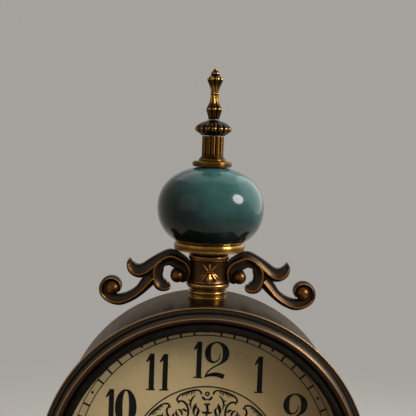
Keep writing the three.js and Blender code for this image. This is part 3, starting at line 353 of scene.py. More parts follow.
class Surface:
    """A material whose nodes are added one by one, with places in the frame as coordinates."""

    def __init__(self, name, **settings):
        self.material = bpy.data.materials.new(name)
        self.material.use_nodes = True
        self.tree = self.material.node_tree
        self.shader = self.tree.nodes["Principled BSDF"]
        self.place = self.tree.nodes.new("ShaderNodeTexCoord").outputs["Object"]
        for socket, value in settings.items():
            self.set(socket.replace("_", " ").title().replace("Ior", "IOR"), value)

    def feed(self, socket, value):
        if isinstance(value, bpy.types.NodeSocket):
            self.tree.links.new(value, socket)
        else:
            socket.default_value = value

    def set(self, name, value):
        self.feed(self.shader.inputs[name], value)

    def add(self, kind, *values, **settings):
        """A node of this kind with its inputs in order."""
        node = self.tree.nodes.new(kind)
        for key, value in settings.items():
            setattr(node, key, value)
        for socket, value in zip(node.inputs, values):
            self.feed(socket, value)
        return node

    def stretched(self, scale):
        node = self.add("ShaderNodeMapping", self.place)
        node.inputs["Scale"].default_value = scale
        return node.outputs[0]

    def noise(self, scale, detail=4.0, rough=0.55, place=None, output="Fac"):
        node = self.add("ShaderNodeTexNoise")
        self.feed(node.inputs["Vector"], place or self.place)
        for name, value in (("Scale", scale), ("Detail", detail), ("Roughness", rough)):
            node.inputs[name].default_value = value
        return node.outputs[output]

    def cells(self, scale, place=None, **settings):
        node = self.add("ShaderNodeTexVoronoi", **settings)
        self.feed(node.inputs["Vector"], place or self.place)
        node.inputs["Scale"].default_value = scale
        return node.outputs["Distance"]

    def maths(self, operation, *values):
        return self.add("ShaderNodeMath", *values, operation=operation).outputs[0]

    def vector(self, operation, *values, output="Vector"):
        return self.add("ShaderNodeVectorMath", *values, operation=operation).outputs[output]

    def remap(self, value, low, high, to_low=0.0, to_high=1.0, **settings):
        return self.add("ShaderNodeMapRange", value, low, high, to_low, to_high, **settings).outputs[0]

    def stirred(self, noise, share, base):
        """A value that a noise moves up and down by half a share."""
        return self.maths("MULTIPLY_ADD", self.maths("SUBTRACT", noise, 0.5), share, base)

    def ramp(self, value, *stops):
        node = self.add("ShaderNodeValToRGB", value)
        points = node.color_ramp.elements
        while len(points) < len(stops):
            points.new(0.5)
        for point, (place, colour) in zip(points, stops):
            point.position = place
            point.color = (*colour, 1)
        return node.outputs["Color"]

    def mix(self, share, *colours):
        node = self.add("ShaderNodeMix", data_type="RGBA")
        self.feed(node.inputs["Factor"], share)
        for socket, colour in zip((s for s in node.inputs if s.type == "RGBA"), colours):
            self.feed(socket, (*colour, 1) if isinstance(colour, tuple) else colour)
        return next(s for s in node.outputs if s.type == "RGBA")

    def bump(self, height, strength, depth):
        node = self.add("ShaderNodeBump")
        node.inputs["Strength"].default_value = strength
        node.inputs["Distance"].default_value = depth * MM
        self.feed(node.inputs["Height"], height)
        self.set("Normal", node.outputs["Normal"])

    def rub(self):
        return self.add("ShaderNodeAttribute", attribute_name="rub").outputs["Fac"]

    def axis(self, name):
        return self.add("ShaderNodeSeparateXYZ", self.place).outputs[name]

    def roughen(self, grain, low, high):
        self.set("Roughness", self.remap(grain, *GRAIN_SPAN, low, high))

    def clear_where(self, share):
        """Lets what is behind show through by this share."""
        clear = self.add("ShaderNodeBsdfTransparent")
        both = self.add("ShaderNodeMixShader", share, self.shader.outputs[0], clear.outputs[0])
        output = next(node for node in self.tree.nodes if node.type == "OUTPUT_MATERIAL")
        self.tree.links.new(both.outputs[0], output.inputs["Surface"])

    def grained(self, patches, grain, stops, rough, relief):
        """Colour that follows patches, with roughness and relief that follow a finer grain."""
        self.set("Base Color", self.ramp(patches, *stops))
        self.roughen(grain, *rough)
        self.bump(grain, *relief)
        return self.material


QUARTER_TURN = 0.25


def worn_metal(name, stops, rough_dark, rough_worn, grime, brushed=0.0):
    """Metal coloured from its hollows, at 0, over plain surfaces, at 0.5, to its rubbed edges, at 1."""
    look = Surface(name, metallic=0.92, anisotropic=brushed, anisotropic_rotation=QUARTER_TURN)
    fine = look.noise(420, 3, 0.6)
    uneven = look.stirred(look.noise(45, 5, 0.6), grime, look.rub())
    uneven = look.stirred(fine, grime * 0.5, uneven)
    look.set("Base Color", look.ramp(uneven, *stops))
    rough = look.remap(uneven, 0.3, 0.9, rough_dark, rough_worn)
    look.set("Roughness", look.stirred(fine, 0.12, rough))
    look.bump(look.noise(650, 3, 0.7), 0.15, 0.1)
    return look.material


# Worn metals: colours from hollow to rubbed edge, their roughness there, grime and brushing
WORN = {
    "bronze": ((
        (0.08, (0.006, 0.004, 0.003)), (0.3, (0.04, 0.028, 0.019)), (0.5, (0.048, 0.025, 0.01)),
        (0.64, (0.125, 0.048, 0.01)), (0.78, (0.3, 0.135, 0.036)), (0.92, (0.52, 0.28, 0.1)),
    ), 0.4, 0.26, 0.14),
    "gold_brass": ((
        (0.2, (0.01, 0.0035, 0.0005)), (0.46, (0.05, 0.02, 0.0016)), (0.62, (0.145, 0.065, 0.007)),
        (0.85, (0.6, 0.35, 0.075)),
    ), 0.36, 0.26, 0.22, 0.9),
    "column_brass": ((
        (0.3, (0.004, 0.0015, 0.0004)), (0.5, (0.045, 0.0165, 0.0016)), (0.75, (0.085, 0.035, 0.0035)),
        (0.95, (0.2, 0.095, 0.012)),
    ), 0.44, 0.36, 0.12, 0.97),
    "finial_brass": ((
        (0.56, (0.006, 0.002, 0.0005)), (0.78, (0.024, 0.0088, 0.0011)), (0.92, (0.1, 0.042, 0.005)),
        (1.0, (0.46, 0.25, 0.046)),
    ), 0.26, 0.15, 0.16),
}
BEZEL_BROWN_RADIUS = 98.2
BEZEL_GREY_RADIUS = 99.4


def bezel_look():
    """Satin grey-brown outside its crest and warmer inside, with every edge rubbed."""
    look = Surface("bezel_metal", metallic=0.95)
    uneven = look.stirred(look.noise(38, 5, 0.6), 0.14, look.rub())
    flat = look.vector("MULTIPLY_ADD", look.place, (1, 0, 1), (0, 0, -drum_frame() * MM))
    away = look.vector("LENGTH", flat, output="Value")
    outside = look.remap(away, BEZEL_BROWN_RADIUS * MM, BEZEL_GREY_RADIUS * MM)
    worn = (0.78, (0.12, 0.06, 0.026)), (0.93, (0.32, 0.18, 0.078))
    grey = look.ramp(
        uneven, (0.15, (0.006, 0.0045, 0.0035)), (0.45, (0.05, 0.04, 0.029)), (0.64, (0.064, 0.048, 0.033)),
        (0.78, (0.12, 0.068, 0.032)), worn[1])
    brown = look.ramp(
        uneven, (0.15, (0.003, 0.002, 0.0015)), (0.45, (0.022, 0.011, 0.0055)), (0.64, (0.04, 0.02, 0.0095)),
        *worn)
    look.set("Base Color", look.mix(outside, brown, grey))
    look.roughen(look.noise(420, 3, 0.6), 0.33, 0.42)
    look.bump(look.noise(650, 3, 0.7), 0.12, 0.06)
    return look.material


def drum_look():
    look = Surface("drum_metal", metallic=1.0, specular_tint=(0.73, 0.65, 0.58, 1))
    stops = (0.3, (0.05, 0.038, 0.029)), (0.7, (0.066, 0.052, 0.041))
    fine = look.noise(160, 3, 0.6, look.stretched((1, 0.2, 1)))
    return look.grained(look.noise(30, 5, 0.6), fine, stops, (0.28, 0.36), (0.08, 0.04))


# How strongly the glaze is painted lighter to the right and over the top, and darker to the left and at the
# foot
PAINTED_SIDE_LIGHT_SHARE = 0.25
PAINTED_TOP_LIGHT_SHARE = 0.3
GLAZE_WOBBLE = 4


def glaze_look(node):
    """A crackled glaze with random tone and painted light: lighter over the top and right of its ball, with
    painted shade at its foot and left.
    """
    low, high = span(node)
    look = Surface("glaze", roughness=0.22, coat_weight=1.0, coat_roughness=0.04, coat_ior=1.27,
                   specular_ior_level=0.08)
    # Painted light and shade: the colour gets lighter towards the ball's right side and its top, and darker
    # to the left and at the foot
    side = look.remap(look.axis("X"), low[0] * MM, high[0] * MM, -PAINTED_SIDE_LIGHT_SHARE, PAINTED_SIDE_LIGHT_SHARE)
    rise = look.remap(look.axis("Z"), low[2] * MM, high[2] * MM, 0.5 - PAINTED_TOP_LIGHT_SHARE,
                      0.5 + PAINTED_TOP_LIGHT_SHARE)
    tone_and_painted_light = look.stirred(look.noise(26, 5, 0.62), 0.7, look.maths("ADD", side, rise))
    # The darkest stops are painted shade and the palest painted light, on top of the glaze's random tone
    colour = look.ramp(
        tone_and_painted_light, (0.1, (0.002, 0.003, 0.002)), (0.4, (0.006, 0.014, 0.012)), (0.65, (0.02, 0.062, 0.058)),
        (0.95, (0.04, 0.125, 0.125)))
    wobble = look.noise(90, 2, 0.5, output="Color")
    shifted = look.vector("MULTIPLY_ADD", wobble, (GLAZE_WOBBLE * MM,) * 3, look.place)
    line = look.remap(look.cells(170, shifted, feature="DISTANCE_TO_EDGE"), 0.0, 0.035, 1.0, 0.0)
    faint = look.maths("MULTIPLY", line, look.remap(look.noise(40, 3), 0.4, 0.65, 0.05, 0.5))
    look.set("Base Color", look.mix(faint, colour, (0.01, 0.025, 0.022)))
    look.bump(look.maths("MULTIPLY", line, -1.0), 0.15, 0.05)
    return look.material


def black_look():
    look = Surface("black_lip", specular_ior_level=0.01)
    fine = look.noise(300, 3)
    stops = (0.3, (0.005, 0.0042, 0.0034)), (0.75, (0.012, 0.009, 0.007))
    return look.grained(fine, fine, stops, (0.6, 0.75), (0.15, 0.08))


# Where the painted shade on the dial's right starts and where it is strongest
PAINTED_SHADE_START = -15
PAINTED_SHADE_END = 80


def dial_look():
    look = Surface("dial_paper", roughness=0.62)
    grain = look.noise(900, 2, 0.6)
    base = look.ramp(
        look.noise(14, 5, 0.62), (0.3, (0.38, 0.27, 0.115)), (0.6, (0.475, 0.355, 0.165)),
        (0.8, (0.53, 0.405, 0.195)))
    spots = look.remap(look.noise(120, 2, 0.5), 0.68, 0.78, 0.0, 0.5)
    spotted = look.mix(spots, base, (0.2, 0.13, 0.055))
    speckled = look.mix(look.remap(grain, 0.35, 0.65, 0.0, 0.16), spotted, (0.27, 0.2, 0.11))
    # Painted shade and painted reflection: the dial turns darker and browner towards its right, where the
    # bezel shades it
    painted_shade_right = look.remap(look.axis("X"), PAINTED_SHADE_START * MM, PAINTED_SHADE_END * MM, 0.0, 0.75)
    look.set("Base Color", look.mix(painted_shade_right, speckled, (0.3, 0.165, 0.045)))
    look.bump(grain, 0.12, 0.05)
    return look.material


def ink_look():
    look = Surface("dial_ink", roughness=0.6, specular_ior_level=0.02)
    fine = look.noise(500, 2)
    look.set("Base Color", look.ramp(fine, (0.3, (0.004, 0.0035, 0.003)), (0.7, (0.009, 0.008, 0.006))))
    return look.material


def glass_look():
    look = Surface("clear_glass", transmission_weight=1.0, ior=1.15)
    look.set("Roughness", look.remap(look.noise(18, 4, 0.6), 0.5, 0.8, 0.0, 0.03))
    look.clear_where(look.add("ShaderNodeLightPath").outputs["Is Shadow Ray"])
    return look.material


def plain_metal(name, dark, pale, rough_low, rough_high, metallic=1.0):
    look = Surface(name, metallic=metallic)
    fine = look.noise(900, 2, 0.6, look.stretched((1, 0.2, 1)))
    stops = (0.3, dark), (0.7, pale)
    return look.grained(look.noise(120, 4, 0.6), fine, stops, (rough_low, rough_high), (0.12, 0.04))


def moulded(name, dark, pale, rough_low, rough_high):
    look = Surface(name)
    stops = (0.3, dark), (0.7, pale)
    grain = look.noise(1400, 2, 0.5)
    return look.grained(look.noise(60, 4, 0.6), grain, stops, (rough_low, rough_high), (0.2, 0.05))


def felt_look():
    look = Surface("felt", roughness=0.95, sheen_weight=0.6, sheen_roughness=0.5)
    fuzz = look.noise(1600, 4, 0.8)
    look.set("Base Color", look.ramp(fuzz, (0.3, (0.008, 0.022, 0.014)), (0.7, (0.03, 0.07, 0.045))))
    look.bump(fuzz, 0.7, 0.3)
    return look.material


CELL_BAND_SHARE = 0.72
CELL_MIDDLE_SHARE = 0.47
CELL_WRAP_SHARE = 0.455


def cell_look():
    """A battery's wrap, dark along its body with a coppery band, between bare metal ends."""
    low, high = span("battery")
    look = Surface("cell_wrap")
    along = look.remap(look.axis("X"), low[0] * MM, high[0] * MM)
    scuffs = look.noise(200, 4, 0.7)
    body = look.ramp(scuffs, (0.3, (0.012, 0.03, 0.075)), (0.7, (0.02, 0.045, 0.11)))
    band = look.maths("GREATER_THAN", along, CELL_BAND_SHARE)
    look.set("Base Color", look.mix(band, body, (0.42, 0.2, 0.07)))
    from_middle = look.maths("ABSOLUTE", look.maths("SUBTRACT", along, CELL_MIDDLE_SHARE))
    ends = look.maths("GREATER_THAN", from_middle, CELL_WRAP_SHARE)
    look.set("Metallic", look.maths("MAXIMUM", look.maths("MULTIPLY", band, 0.7), ends))
    look.roughen(scuffs, 0.24, 0.4)
    look.bump(scuffs, 0.1, 0.03)
    return look.material


def circuit_look():
    look = Surface("circuit")
    lines = look.remap(look.cells(420, feature="F1", distance="CHEBYCHEV"), 0.3, 0.34)
    look.set("Base Color", look.mix(lines, (0.02, 0.1, 0.04), (0.035, 0.16, 0.07)))
    look.roughen(look.noise(300), 0.3, 0.45)
    look.bump(lines, 0.3, 0.05)
    return look.material


LOOKS = {
    **{name: worn_metal(name, *settings) for name, settings in WORN.items()},
    "bezel_metal": bezel_look(),
    "drum_metal": drum_look(),
    "crest_ball": glaze_look("crest_ball"),
    "pedestal_ball": glaze_look("pedestal_ball"),
    "black_lip": black_look(),
    "dial_print": dial_look(),
    "ink": ink_look(),
    "clear_glass": glass_look(),
    "hand_black": plain_metal("hand_black", (0.008, 0.008, 0.008), (0.02, 0.018, 0.016), 0.32, 0.45, 0.4),
    "steel": plain_metal("steel", (0.32, 0.31, 0.3), (0.5, 0.49, 0.47), 0.24, 0.38),
    "dark_plastic": moulded("dark_plastic", (0.012, 0.013, 0.014), (0.026, 0.027, 0.029), 0.42, 0.6),
    "gear_plastic": moulded("gear_plastic", (0.62, 0.58, 0.5), (0.74, 0.71, 0.63), 0.38, 0.5),
    "felt": felt_look(),
    "cell_wrap": cell_look(),
    "circuit": circuit_look(),
    "copper_wire": plain_metal("copper_wire", (0.42, 0.13, 0.045), (0.62, 0.24, 0.09), 0.22, 0.34),
}


def turned_piece(name, outline, slot, node, sides=ROUND_SIDES, bend=None, look=None):
    """A piece turned about the clock's upright axis."""
    points, faces = lathe(outline, sides, bend)
    add_piece(name, points, faces, slot, [node], look=look)


def drum_piece(name, outline, slot, node, look=None):
    """A piece turned about the drum's axis, from an outline of radius and distance forward."""
    points, faces = lathe(outline, DRUM_SIDES)
    add_piece(name, on_drum_axis(points), faces, slot, [node], look=look)


# Pedestal and crest: pieces turned about the upright axis

ROD_HOLE = 3.4
PAD_EASE = 0.7
PLINTH_SHARES = [
    (0.955, 0.0), (0.982, 0.012), (0.996, 0.06), (0.996, 0.17), (0.982, 0.215), (0.935, 0.235), (0.925, 0.27),
    (0.93, 0.33), (0.915, 0.39), (0.885, 0.42), (0.83, 0.455), (0.76, 0.5), (0.7, 0.56), (0.655, 0.63),
    (0.635, 0.68), (0.6, 0.7), (0.598, 0.73), (0.62, 0.765), (0.615, 0.815), (0.57, 0.84), (0.505, 0.86),
    (0.47, 0.9), (0.455, 0.95), (0.45, 1.0),
]
HUB_SHARES = [
    (0.0, 0.0), (0.02, 0.04), (0.62, 0.055), (0.93, 0.09), (1.0, 0.13), (0.93, 0.17), (0.62, 0.2),
    (0.55, 0.225), (0.42, 0.27), (0.3, 0.38), (0.27, 0.5), (0.31, 0.62), (0.4, 0.71), (0.47, 0.755),
    (0.6, 0.775), (0.67, 0.815), (0.66, 0.855), (0.56, 0.885), (0.28, 0.9), (0.2, 0.93), (0.2, 1.0),
]
LOWER_HUB_SHARES = [
    (0.0, 0.0), (0.02, 0.06), (0.4, 0.085), (0.9, 0.14), (1.0, 0.2), (0.9, 0.26), (0.5, 0.295), (0.42, 0.32),
    (0.32, 0.4), (0.27, 0.5), (0.3, 0.6), (0.45, 0.66), (0.7, 0.685), (0.88, 0.72), (0.9, 0.77), (0.8, 0.82),
    (0.45, 0.85), (0.24, 0.88), (0.2, 0.93), (0.2, 1.0),
]
COLLAR_SHARES = [
    (0.9, 0.0), (1.0, 0.04), (1.0, 0.12), (0.88, 0.17), (0.55, 0.22), (0.3, 0.3), (0.08, 0.42), (0.0, 0.53),
    (0.06, 0.64), (0.3, 0.74), (0.62, 0.79), (0.78, 0.83), (0.82, 0.9), (0.78, 1.0),
]
CREST_COLLAR_SHARES = [
    (0.7, 0.0), (0.86, 0.03), (0.9, 0.1), (0.9, 0.3), (0.84, 0.37), (0.8, 0.41), (0.86, 0.45), (1.0, 0.5),
    (1.0, 0.58), (1.0, 0.84), (0.97, 0.9), (0.8, 0.95), (0.3, 1.0),
]
SPIRE_SHARES = [
    (0.67, 0.0), (0.67, 0.03), (0.78, 0.1), (0.9, 0.165), (0.96, 0.205), (0.88, 0.235), (0.76, 0.27),
    (0.63, 0.32), (0.54, 0.38), (0.5, 0.45), (0.5, 0.49), (0.55, 0.512), (0.5, 0.534), (0.51, 0.57),
    (0.63, 0.63), (0.78, 0.69), (0.93, 0.745), (1.0, 0.78), (0.94, 0.805), (0.74, 0.83), (0.56, 0.852),
    (0.53, 0.87), (0.55, 0.898), (0.46, 0.925), (0.32, 0.95), (0.28, 0.972), (0.17, 0.993), (0.0, 1.0),
]

# Rounded rims: how proud of the CAD they are, then their ease as a share of the height, and the
# lower edge's draw and the fillet as shares of that ease
RING_RIM = (0.6, 0.24, 0.5, 0.9)
FLANGE_RIM = (0, 0.26, 1, 1)
COLUMN_FOOT = 9.4
COLUMN_RADIUS = 7.4
COLUMN_FOOT_HEIGHT = 3.2
COLUMN_FOOT_SHARES = [(1, 0), (1, 0.2), (0.72, 0.42), (0.3, 0.7), (0.05, 1)]
COLUMN_START_SHARE = 0.22
COLUMN_STEPS = 24
FLUTES = 12
FLUTE_SIDES = 14
FLUTE_DEPTH = 0.95
GROOVE_POWER = 1.5
GADROON_SHARES = [
    (0.5, 0.0), (0.54, 0.05), (0.77, 0.18), (0.955, 0.31), (1.0, 0.43), (0.965, 0.53), (0.85, 0.65),
    (0.6, 0.79), (0.36, 0.89), (0.12, 0.96), (0.06, 1.0),
]
CAP_LOBES = 16
CAP_LOBE_SIDES = 12
LOBE_DEPTH = 1.15
SPIRE_LOBES = 8
SPIRE_LOBE_SIDES = 14
SPIRE_LOBE_SHARE = 0.2
NECK_TWIST = 1.9
NECK_LOW_SHARE = 0.25
NECK_HIGH_SHARE = 0.68
LOBE_POWER = 1.4
LOBE_RISE_SHARE = 0.06
LOBE_END_SHARE = 0.86
LOBE_FALL_SHARE = 0.05


def stacked(name, node, shares, slot, inner=0.0, outer=None, bore=ROD_HOLE, **settings):
    """A turned piece from shares of its node's radius and height, bored for the rod."""
    low, high = levels(node)
    side = flowing(shared(shares, inner, outer or half_width(node), low, high - low))
    top = [(bore, high)] if bore else []
    turned_piece(name, [(bore, low)] + side + top, slot, node, **settings)


def rimmed_disc(name, node, proud, ease_share, foot_share, fillet_share, look=None):
    """A flat disc with a rounded rim, bored for the rod."""
    low, high = levels(node)
    radius = half_width(node) + proud
    ease = (high - low) * ease_share
    fillet = ease * fillet_share
    corners = [
        (ROD_HOLE, low, 0), (radius - ease * foot_share, low, fillet), (radius, low + ease, fillet),
        (radius, high - ease, fillet), (radius - ease, high, fillet), (ROD_HOLE, high, 0),
    ]
    turned_piece(name, rounded(corners), "gold_brass", node, look=look)


CREST_HUB_INNER = 11.4
CREST_HUB_OUTER = 14.9
LOWER_HUB_INNER = 13
LOWER_HUB_OUTER = 18
LOWER_COLLAR_WAIST = 12
CREST_COLLAR_WAIST = 12.2
BALL_POWER = 2.2
BALL_STEPS = 72
BALLS = {
    "pedestal_ball": {"half_high": 34, "bore": 13, "foot_share": 0.838},
    "crest_ball": {"half_high": 28.4, "bore": ROD_HOLE, "foot_share": 0.795},
}


def glazed_ball(node, half_high, bore, foot_share):
    """A squashed ball on a superellipse, cut off flat where it is seated and where it ends."""
    low, high = levels(node)
    widest = half_width(node)
    middle = low + half_high * foot_share
    outline = [(bore, low)]
    for i in range(BALL_STEPS + 1):
        swing = math.pi * i / BALL_STEPS - math.pi / 2
        z = min(max(middle + half_high * math.sin(swing), low), high)
        rise = min(1, abs(z - middle) / half_high)
        radius = widest * (1 - rise ** BALL_POWER) ** (1 / BALL_POWER)
        outline.append((max(radius, bore), z))
    outline.append((bore, high))
    turned_piece(f"{node}_glazed", outline, "glaze", node, look=node)


def groove(phase, power):
    """How deep a groove is, from 0 on a rib to 1 between two."""
    return (1 - abs(math.cos(phase))) ** power


def fluted(start):
    """Cuts the flutes of the finial's column, which fade out above its foot."""
    def bend(radius, height, angle):
        if radius <= ROD_HOLE or height < start:
            return radius
        fade = min(1, (height - start) / FLUTE_DEPTH)
        return radius - FLUTE_DEPTH * fade * groove(angle * FLUTES / 2, GROOVE_POWER)
    return bend


def lobed(outer):
    """Draws the cap in between its lobes."""
    def bend(radius, height, angle):
        share = max(0, (radius - ROD_HOLE) / (outer - ROD_HOLE))
        return radius - LOBE_DEPTH * share * groove(angle * CAP_LOBES / 2, GROOVE_POWER)
    return bend


def twisted(low, tall):
    """Cuts the spire into lobes, which wind round its neck."""
    def bend(radius, height, angle):
        up = (height - low) / tall
        along = min(1, max(0, (up - NECK_LOW_SHARE) / (NECK_HIGH_SHARE - NECK_LOW_SHARE)))
        depth = groove(angle * SPIRE_LOBES / 2 + along * NECK_TWIST, LOBE_POWER)
        fade = min(1, up / LOBE_RISE_SHARE) * min(1, max(0, (LOBE_END_SHARE - up) / LOBE_FALL_SHARE))
        return radius * (1 - SPIRE_LOBE_SHARE * fade * depth)
    return bend


RINGS = {
    "foot_ring_turned": "pedestal_ring_foot", "top_ring_turned": "pedestal_ring_top",
    "ball_ring_turned": "ball_seat_ring",
}

# Hubs and collars: node, profile, look and radii that the profile's shares run between
HUBS = {
    "lower_hub_cast": ("lower_hub", LOWER_HUB_SHARES, "bronze", LOWER_HUB_INNER, LOWER_HUB_OUTER),
    "crest_hub_cast": ("crest_hub", HUB_SHARES, "bronze", CREST_HUB_INNER, CREST_HUB_OUTER),
    "lower_collar_turned": ("lower_collar", COLLAR_SHARES, "gold_brass", LOWER_COLLAR_WAIST),
    "crest_collar_turned": ("crest_collar", CREST_COLLAR_SHARES, "gold_brass", CREST_COLLAR_WAIST),
}


def make_stack():
    stacked("plinth_turned", "plinth", PLINTH_SHARES, "bronze", sides=DRUM_SIDES)
    pad = plate(0, half_width("base_pad"), *levels("base_pad"), PAD_EASE)
    turned_piece("felt_pad", pad, "felt", "base_pad", DRUM_SIDES)
    for name, node in RINGS.items():
        rimmed_disc(name, node, *RING_RIM)
    for node, sizes in BALLS.items():
        glazed_ball(node, **sizes)
    for name, form in HUBS.items():
        stacked(name, *form)


def make_finial():
    rimmed_disc("finial_flange_turned", "finial_flange", *FLANGE_RIM, look="column_brass")
    make_column()
    stacked("finial_gadroon_cast", "finial_gadroon", GADROON_SHARES, "gold_brass", ROD_HOLE,
            bend=lobed(half_width("finial_gadroon")), sides=CAP_LOBES * CAP_LOBE_SIDES, look="finial_brass")
    low, high = levels("finial_spire")
    stacked("finial_spire_turned", "finial_spire", SPIRE_SHARES, "gold_brass", bore=0,
            bend=twisted(low, high - low), sides=SPIRE_LOBES * SPIRE_LOBE_SIDES, look="finial_brass")


def make_column():
    low, high = levels("finial_column")
    foot = flowing(shared(COLUMN_FOOT_SHARES, COLUMN_RADIUS, COLUMN_FOOT, low, COLUMN_FOOT_HEIGHT))
    start = low + (high - low) * COLUMN_START_SHARE
    rise = [(COLUMN_RADIUS, start + (high - start) * i / COLUMN_STEPS) for i in range(COLUMN_STEPS + 1)]
    outline = [(ROD_HOLE, low)] + foot + rise + [(ROD_HOLE, high)]
    turned_piece("finial_column_fluted", outline, "gold_brass", "finial_column", FLUTES * FLUTE_SIDES,
                 fluted(low + COLUMN_FOOT_HEIGHT), "column_brass")


# Scrolls, as shares of the span from the hub's edge to their reach: across, up, half the width
# and where the ridge runs between the right (0) and left (1) edge of the travel

CREST = {
    "arm": [
        (0.186, 0.452, 0.094, 0.62), (0.289, 0.421, 0.081, 0.55), (0.391, 0.352, 0.085, 0.44),
        (0.484, 0.295, 0.081, 0.33), (0.561, 0.283, 0.074, 0.24), (0.623, 0.313, 0.063, 0.22),
        (0.659, 0.372, 0.039, 0.22), (0.664, 0.424, 0.01, 0.3),
    ],
    "arm_curl": {
        "x": 0.108, "z": 0.247, "degrees": (240, 95), "radius": (0.082, 0.163), "half": (0.012, 0.092),
        "ridge": (0.8, 0.68), "eye": 0.08,
    },
    "lower": [
        (0.396, 0.217, 0.074, 0.38), (0.467, 0.139, 0.071, 0.36), (0.542, 0.054, 0.058, 0.35),
        (0.659, -0.025, 0.058, 0.33), (0.78, -0.061, 0.061, 0.28),
    ],
    "lower_curl": {
        "x": 0.851, "z": 0.083, "degrees": (-70, 215), "radius": (0.125, 0.083), "half": (0.05, 0.011),
        "ridge": (0.27, 0.4), "eye": 0.082,
    },
    "leaf": [
        (0.268, 0.418, 0.03, 0.7), (0.318, 0.368, 0.066, 0.7), (0.343, 0.31, 0.078, 0.72),
        (0.346, 0.254, 0.071, 0.74), (0.334, 0.187, 0.069, 0.76),
        (0.298, 0.134, 0.07, 0.78), (0.252, 0.12, 0.064, 0.78), (0.216, 0.12, 0.05, 0.76),
        (0.19, 0.135, 0.02, 0.7),
    ],
    "curl_first": True, "ridge_half": 6, "edge_half": 3.8, "eye_depth": 1.35,
}
SIDE = {
    "arm": [
        (-0.049, 0, 0.049, 0.5), (0.099, 0.009, 0.052, 0.4), (0.293, 0.088, 0.055, 0.3),
        (0.511, 0.289, 0.057, 0.25), (0.705, 0.571, 0.052, 0.3), (0.837, 0.89, 0.045, 0.42),
        (0.887, 1.149, 0.0345, 0.56),
    ],
    "arm_curl": {
        "x": 0.935, "z": 1.302, "degrees": (190, -110), "radius": (0.059, 0.042), "half": (0.024, 0.008),
        "ridge": (0.75, 0.85), "eye": 0.04,
    },
    "lower": [(0.199, 0.04, 0.045, 0.35), (0.317, -0.029, 0.04, 0.25), (0.434, -0.061, 0.037, 0.2)],
    "lower_curl": {
        "x": 0.573, "z": 0.053, "degrees": (-100, 175), "radius": (0.079, 0.049), "half": (0.032, 0.007),
        "ridge": (0.28, 0.4), "eye": 0.051,
    },
    "leaf": [
        (0.281, 0.082, 0.047, 0.3), (0.228, 0.153, 0.04, 0.25), (0.158, 0.189, 0.038, 0.2),
        (0.099, 0.171, 0.031, 0.18), (0.075, 0.13, 0.012, 0.15),
    ],
    "curl_first": False, "ridge_half": 7, "edge_half": 4.6, "eye_depth": 1.3,
}
CURL_ROWS = 9
FLANK_SHARES = (1.0, 0.975, 0.93, 0.86, 0.76, 0.63, 0.5, 0.37, 0.25, 0.14)
ACROSS = [(1, share) for share in FLANK_SHARES] + [(1, 0)]
ACROSS += [(-1, share) for share in reversed(FLANK_SHARES)]
CAST_SHARP = 120
RIDGE_LEAST = 0.02
RIDGE_LINE = 0.8
COVE_POWER = 1.9
RIM_START_SHARE = 0.9
RIM_DROP_SHARE = 0.26
COVE_DIP_SHARE = 0.1
TIP_DEPTH_SHARE = 0.55
TIP_WIDTH_SHARE = 0.6

# Wear of a band: on its flanks, what its edges lack and where they start, and what its ridge adds
FLANK_RUB = 0.33
EDGE_RUB = 0.24
EDGE_START_SHARE = 0.74
EDGE_SHARE = 0.2
RIDGE_RUB = 0.5

# Buttons that the curls wind on
DOME_STEPS = 9
DOME_FOOT_SHARE = 0.42
WAIST_SHARES = [(0.98, 0.36), (0.84, 0.3), (0.84, 0)]
DOME_EDGE_SHARE = 0.44
DOME_RUB = 0.58
DOME_TOP_RUB = 0.1
WAIST_RUB = 0.2


def curl_rows(curl, root, size):
    """A curl's rows, wound from its start to its end round its own middle."""
    rows = []
    for i in range(CURL_ROWS):
        share = i / (CURL_ROWS - 1)
        starts, ends = zip(*(curl[key] for key in ("degrees", "radius", "half", "ridge")))
        degrees, radius, half, ridge = between(starts, ends, share)
        x = curl["x"] + radius * math.cos(math.radians(degrees))
        z = curl["z"] + radius * math.sin(math.radians(degrees))
        rows.append((root + x * size, z * size, half * size, ridge))
    return rows


def flank_depth(share, ridge_half, edge_half):
    """Half the thickness at a share of the way from the ridge to the edge: a cove with a rounded rim."""
    cove = edge_half + (ridge_half - edge_half) * (1 - share) ** COVE_POWER
    rim = max(0, (share - RIM_START_SHARE) / (1 - RIM_START_SHARE))
    dip = math.sin(math.pi * share) ** 2
    return cove - edge_half * (RIM_DROP_SHARE * rim ** 2 + COVE_DIP_SHARE * dip)


def band_ring(ridge, ridge_half, edge_half):
    """A ring round a band as (side, depth, share of the way from ridge to edge), ridged on both faces."""
    ridge_side = 2 * min(max(ridge, RIDGE_LEAST), 1 - RIDGE_LEAST) - 1
    front = []
    for edge, share in ACROSS:
        side = edge + (ridge_side - edge) * (1 - share)
        front.append((side, -flank_depth(share, ridge_half, edge_half), share))
    back = [(side, -y, share) for side, y, share in reversed(front)]
    return front + [(-1, 0, 1)] + back + [(1, 0, 1)]


def band(rows, ridge_half, edge_half):
    """A cast band along rows of x, z, half width and ridge share."""
    path = flowing(rows, BAND_STEPS)
    widest = max(row[2] for row in path)
    points, rub = [], []
    for (x, z, half, ridge), along in directed(path):
        slim = TIP_DEPTH_SHARE + (1 - TIP_DEPTH_SHARE) * min(1, half / (TIP_WIDTH_SHARE * widest))
        ring = band_ring(ridge, ridge_half, edge_half)
        for side, y, share in ring:
            points.append((x - along.y * half * side, y * slim, z + along.x * half * side))
            crest = math.exp(-(share * half / RIDGE_LINE) ** 2)
            edge = min(1, max(0, (share - EDGE_START_SHARE) / EDGE_SHARE))
            rub.append(FLANK_RUB - EDGE_RUB * edge + RIDGE_RUB * crest)
    return points, skin(len(path), len(ring)), rub


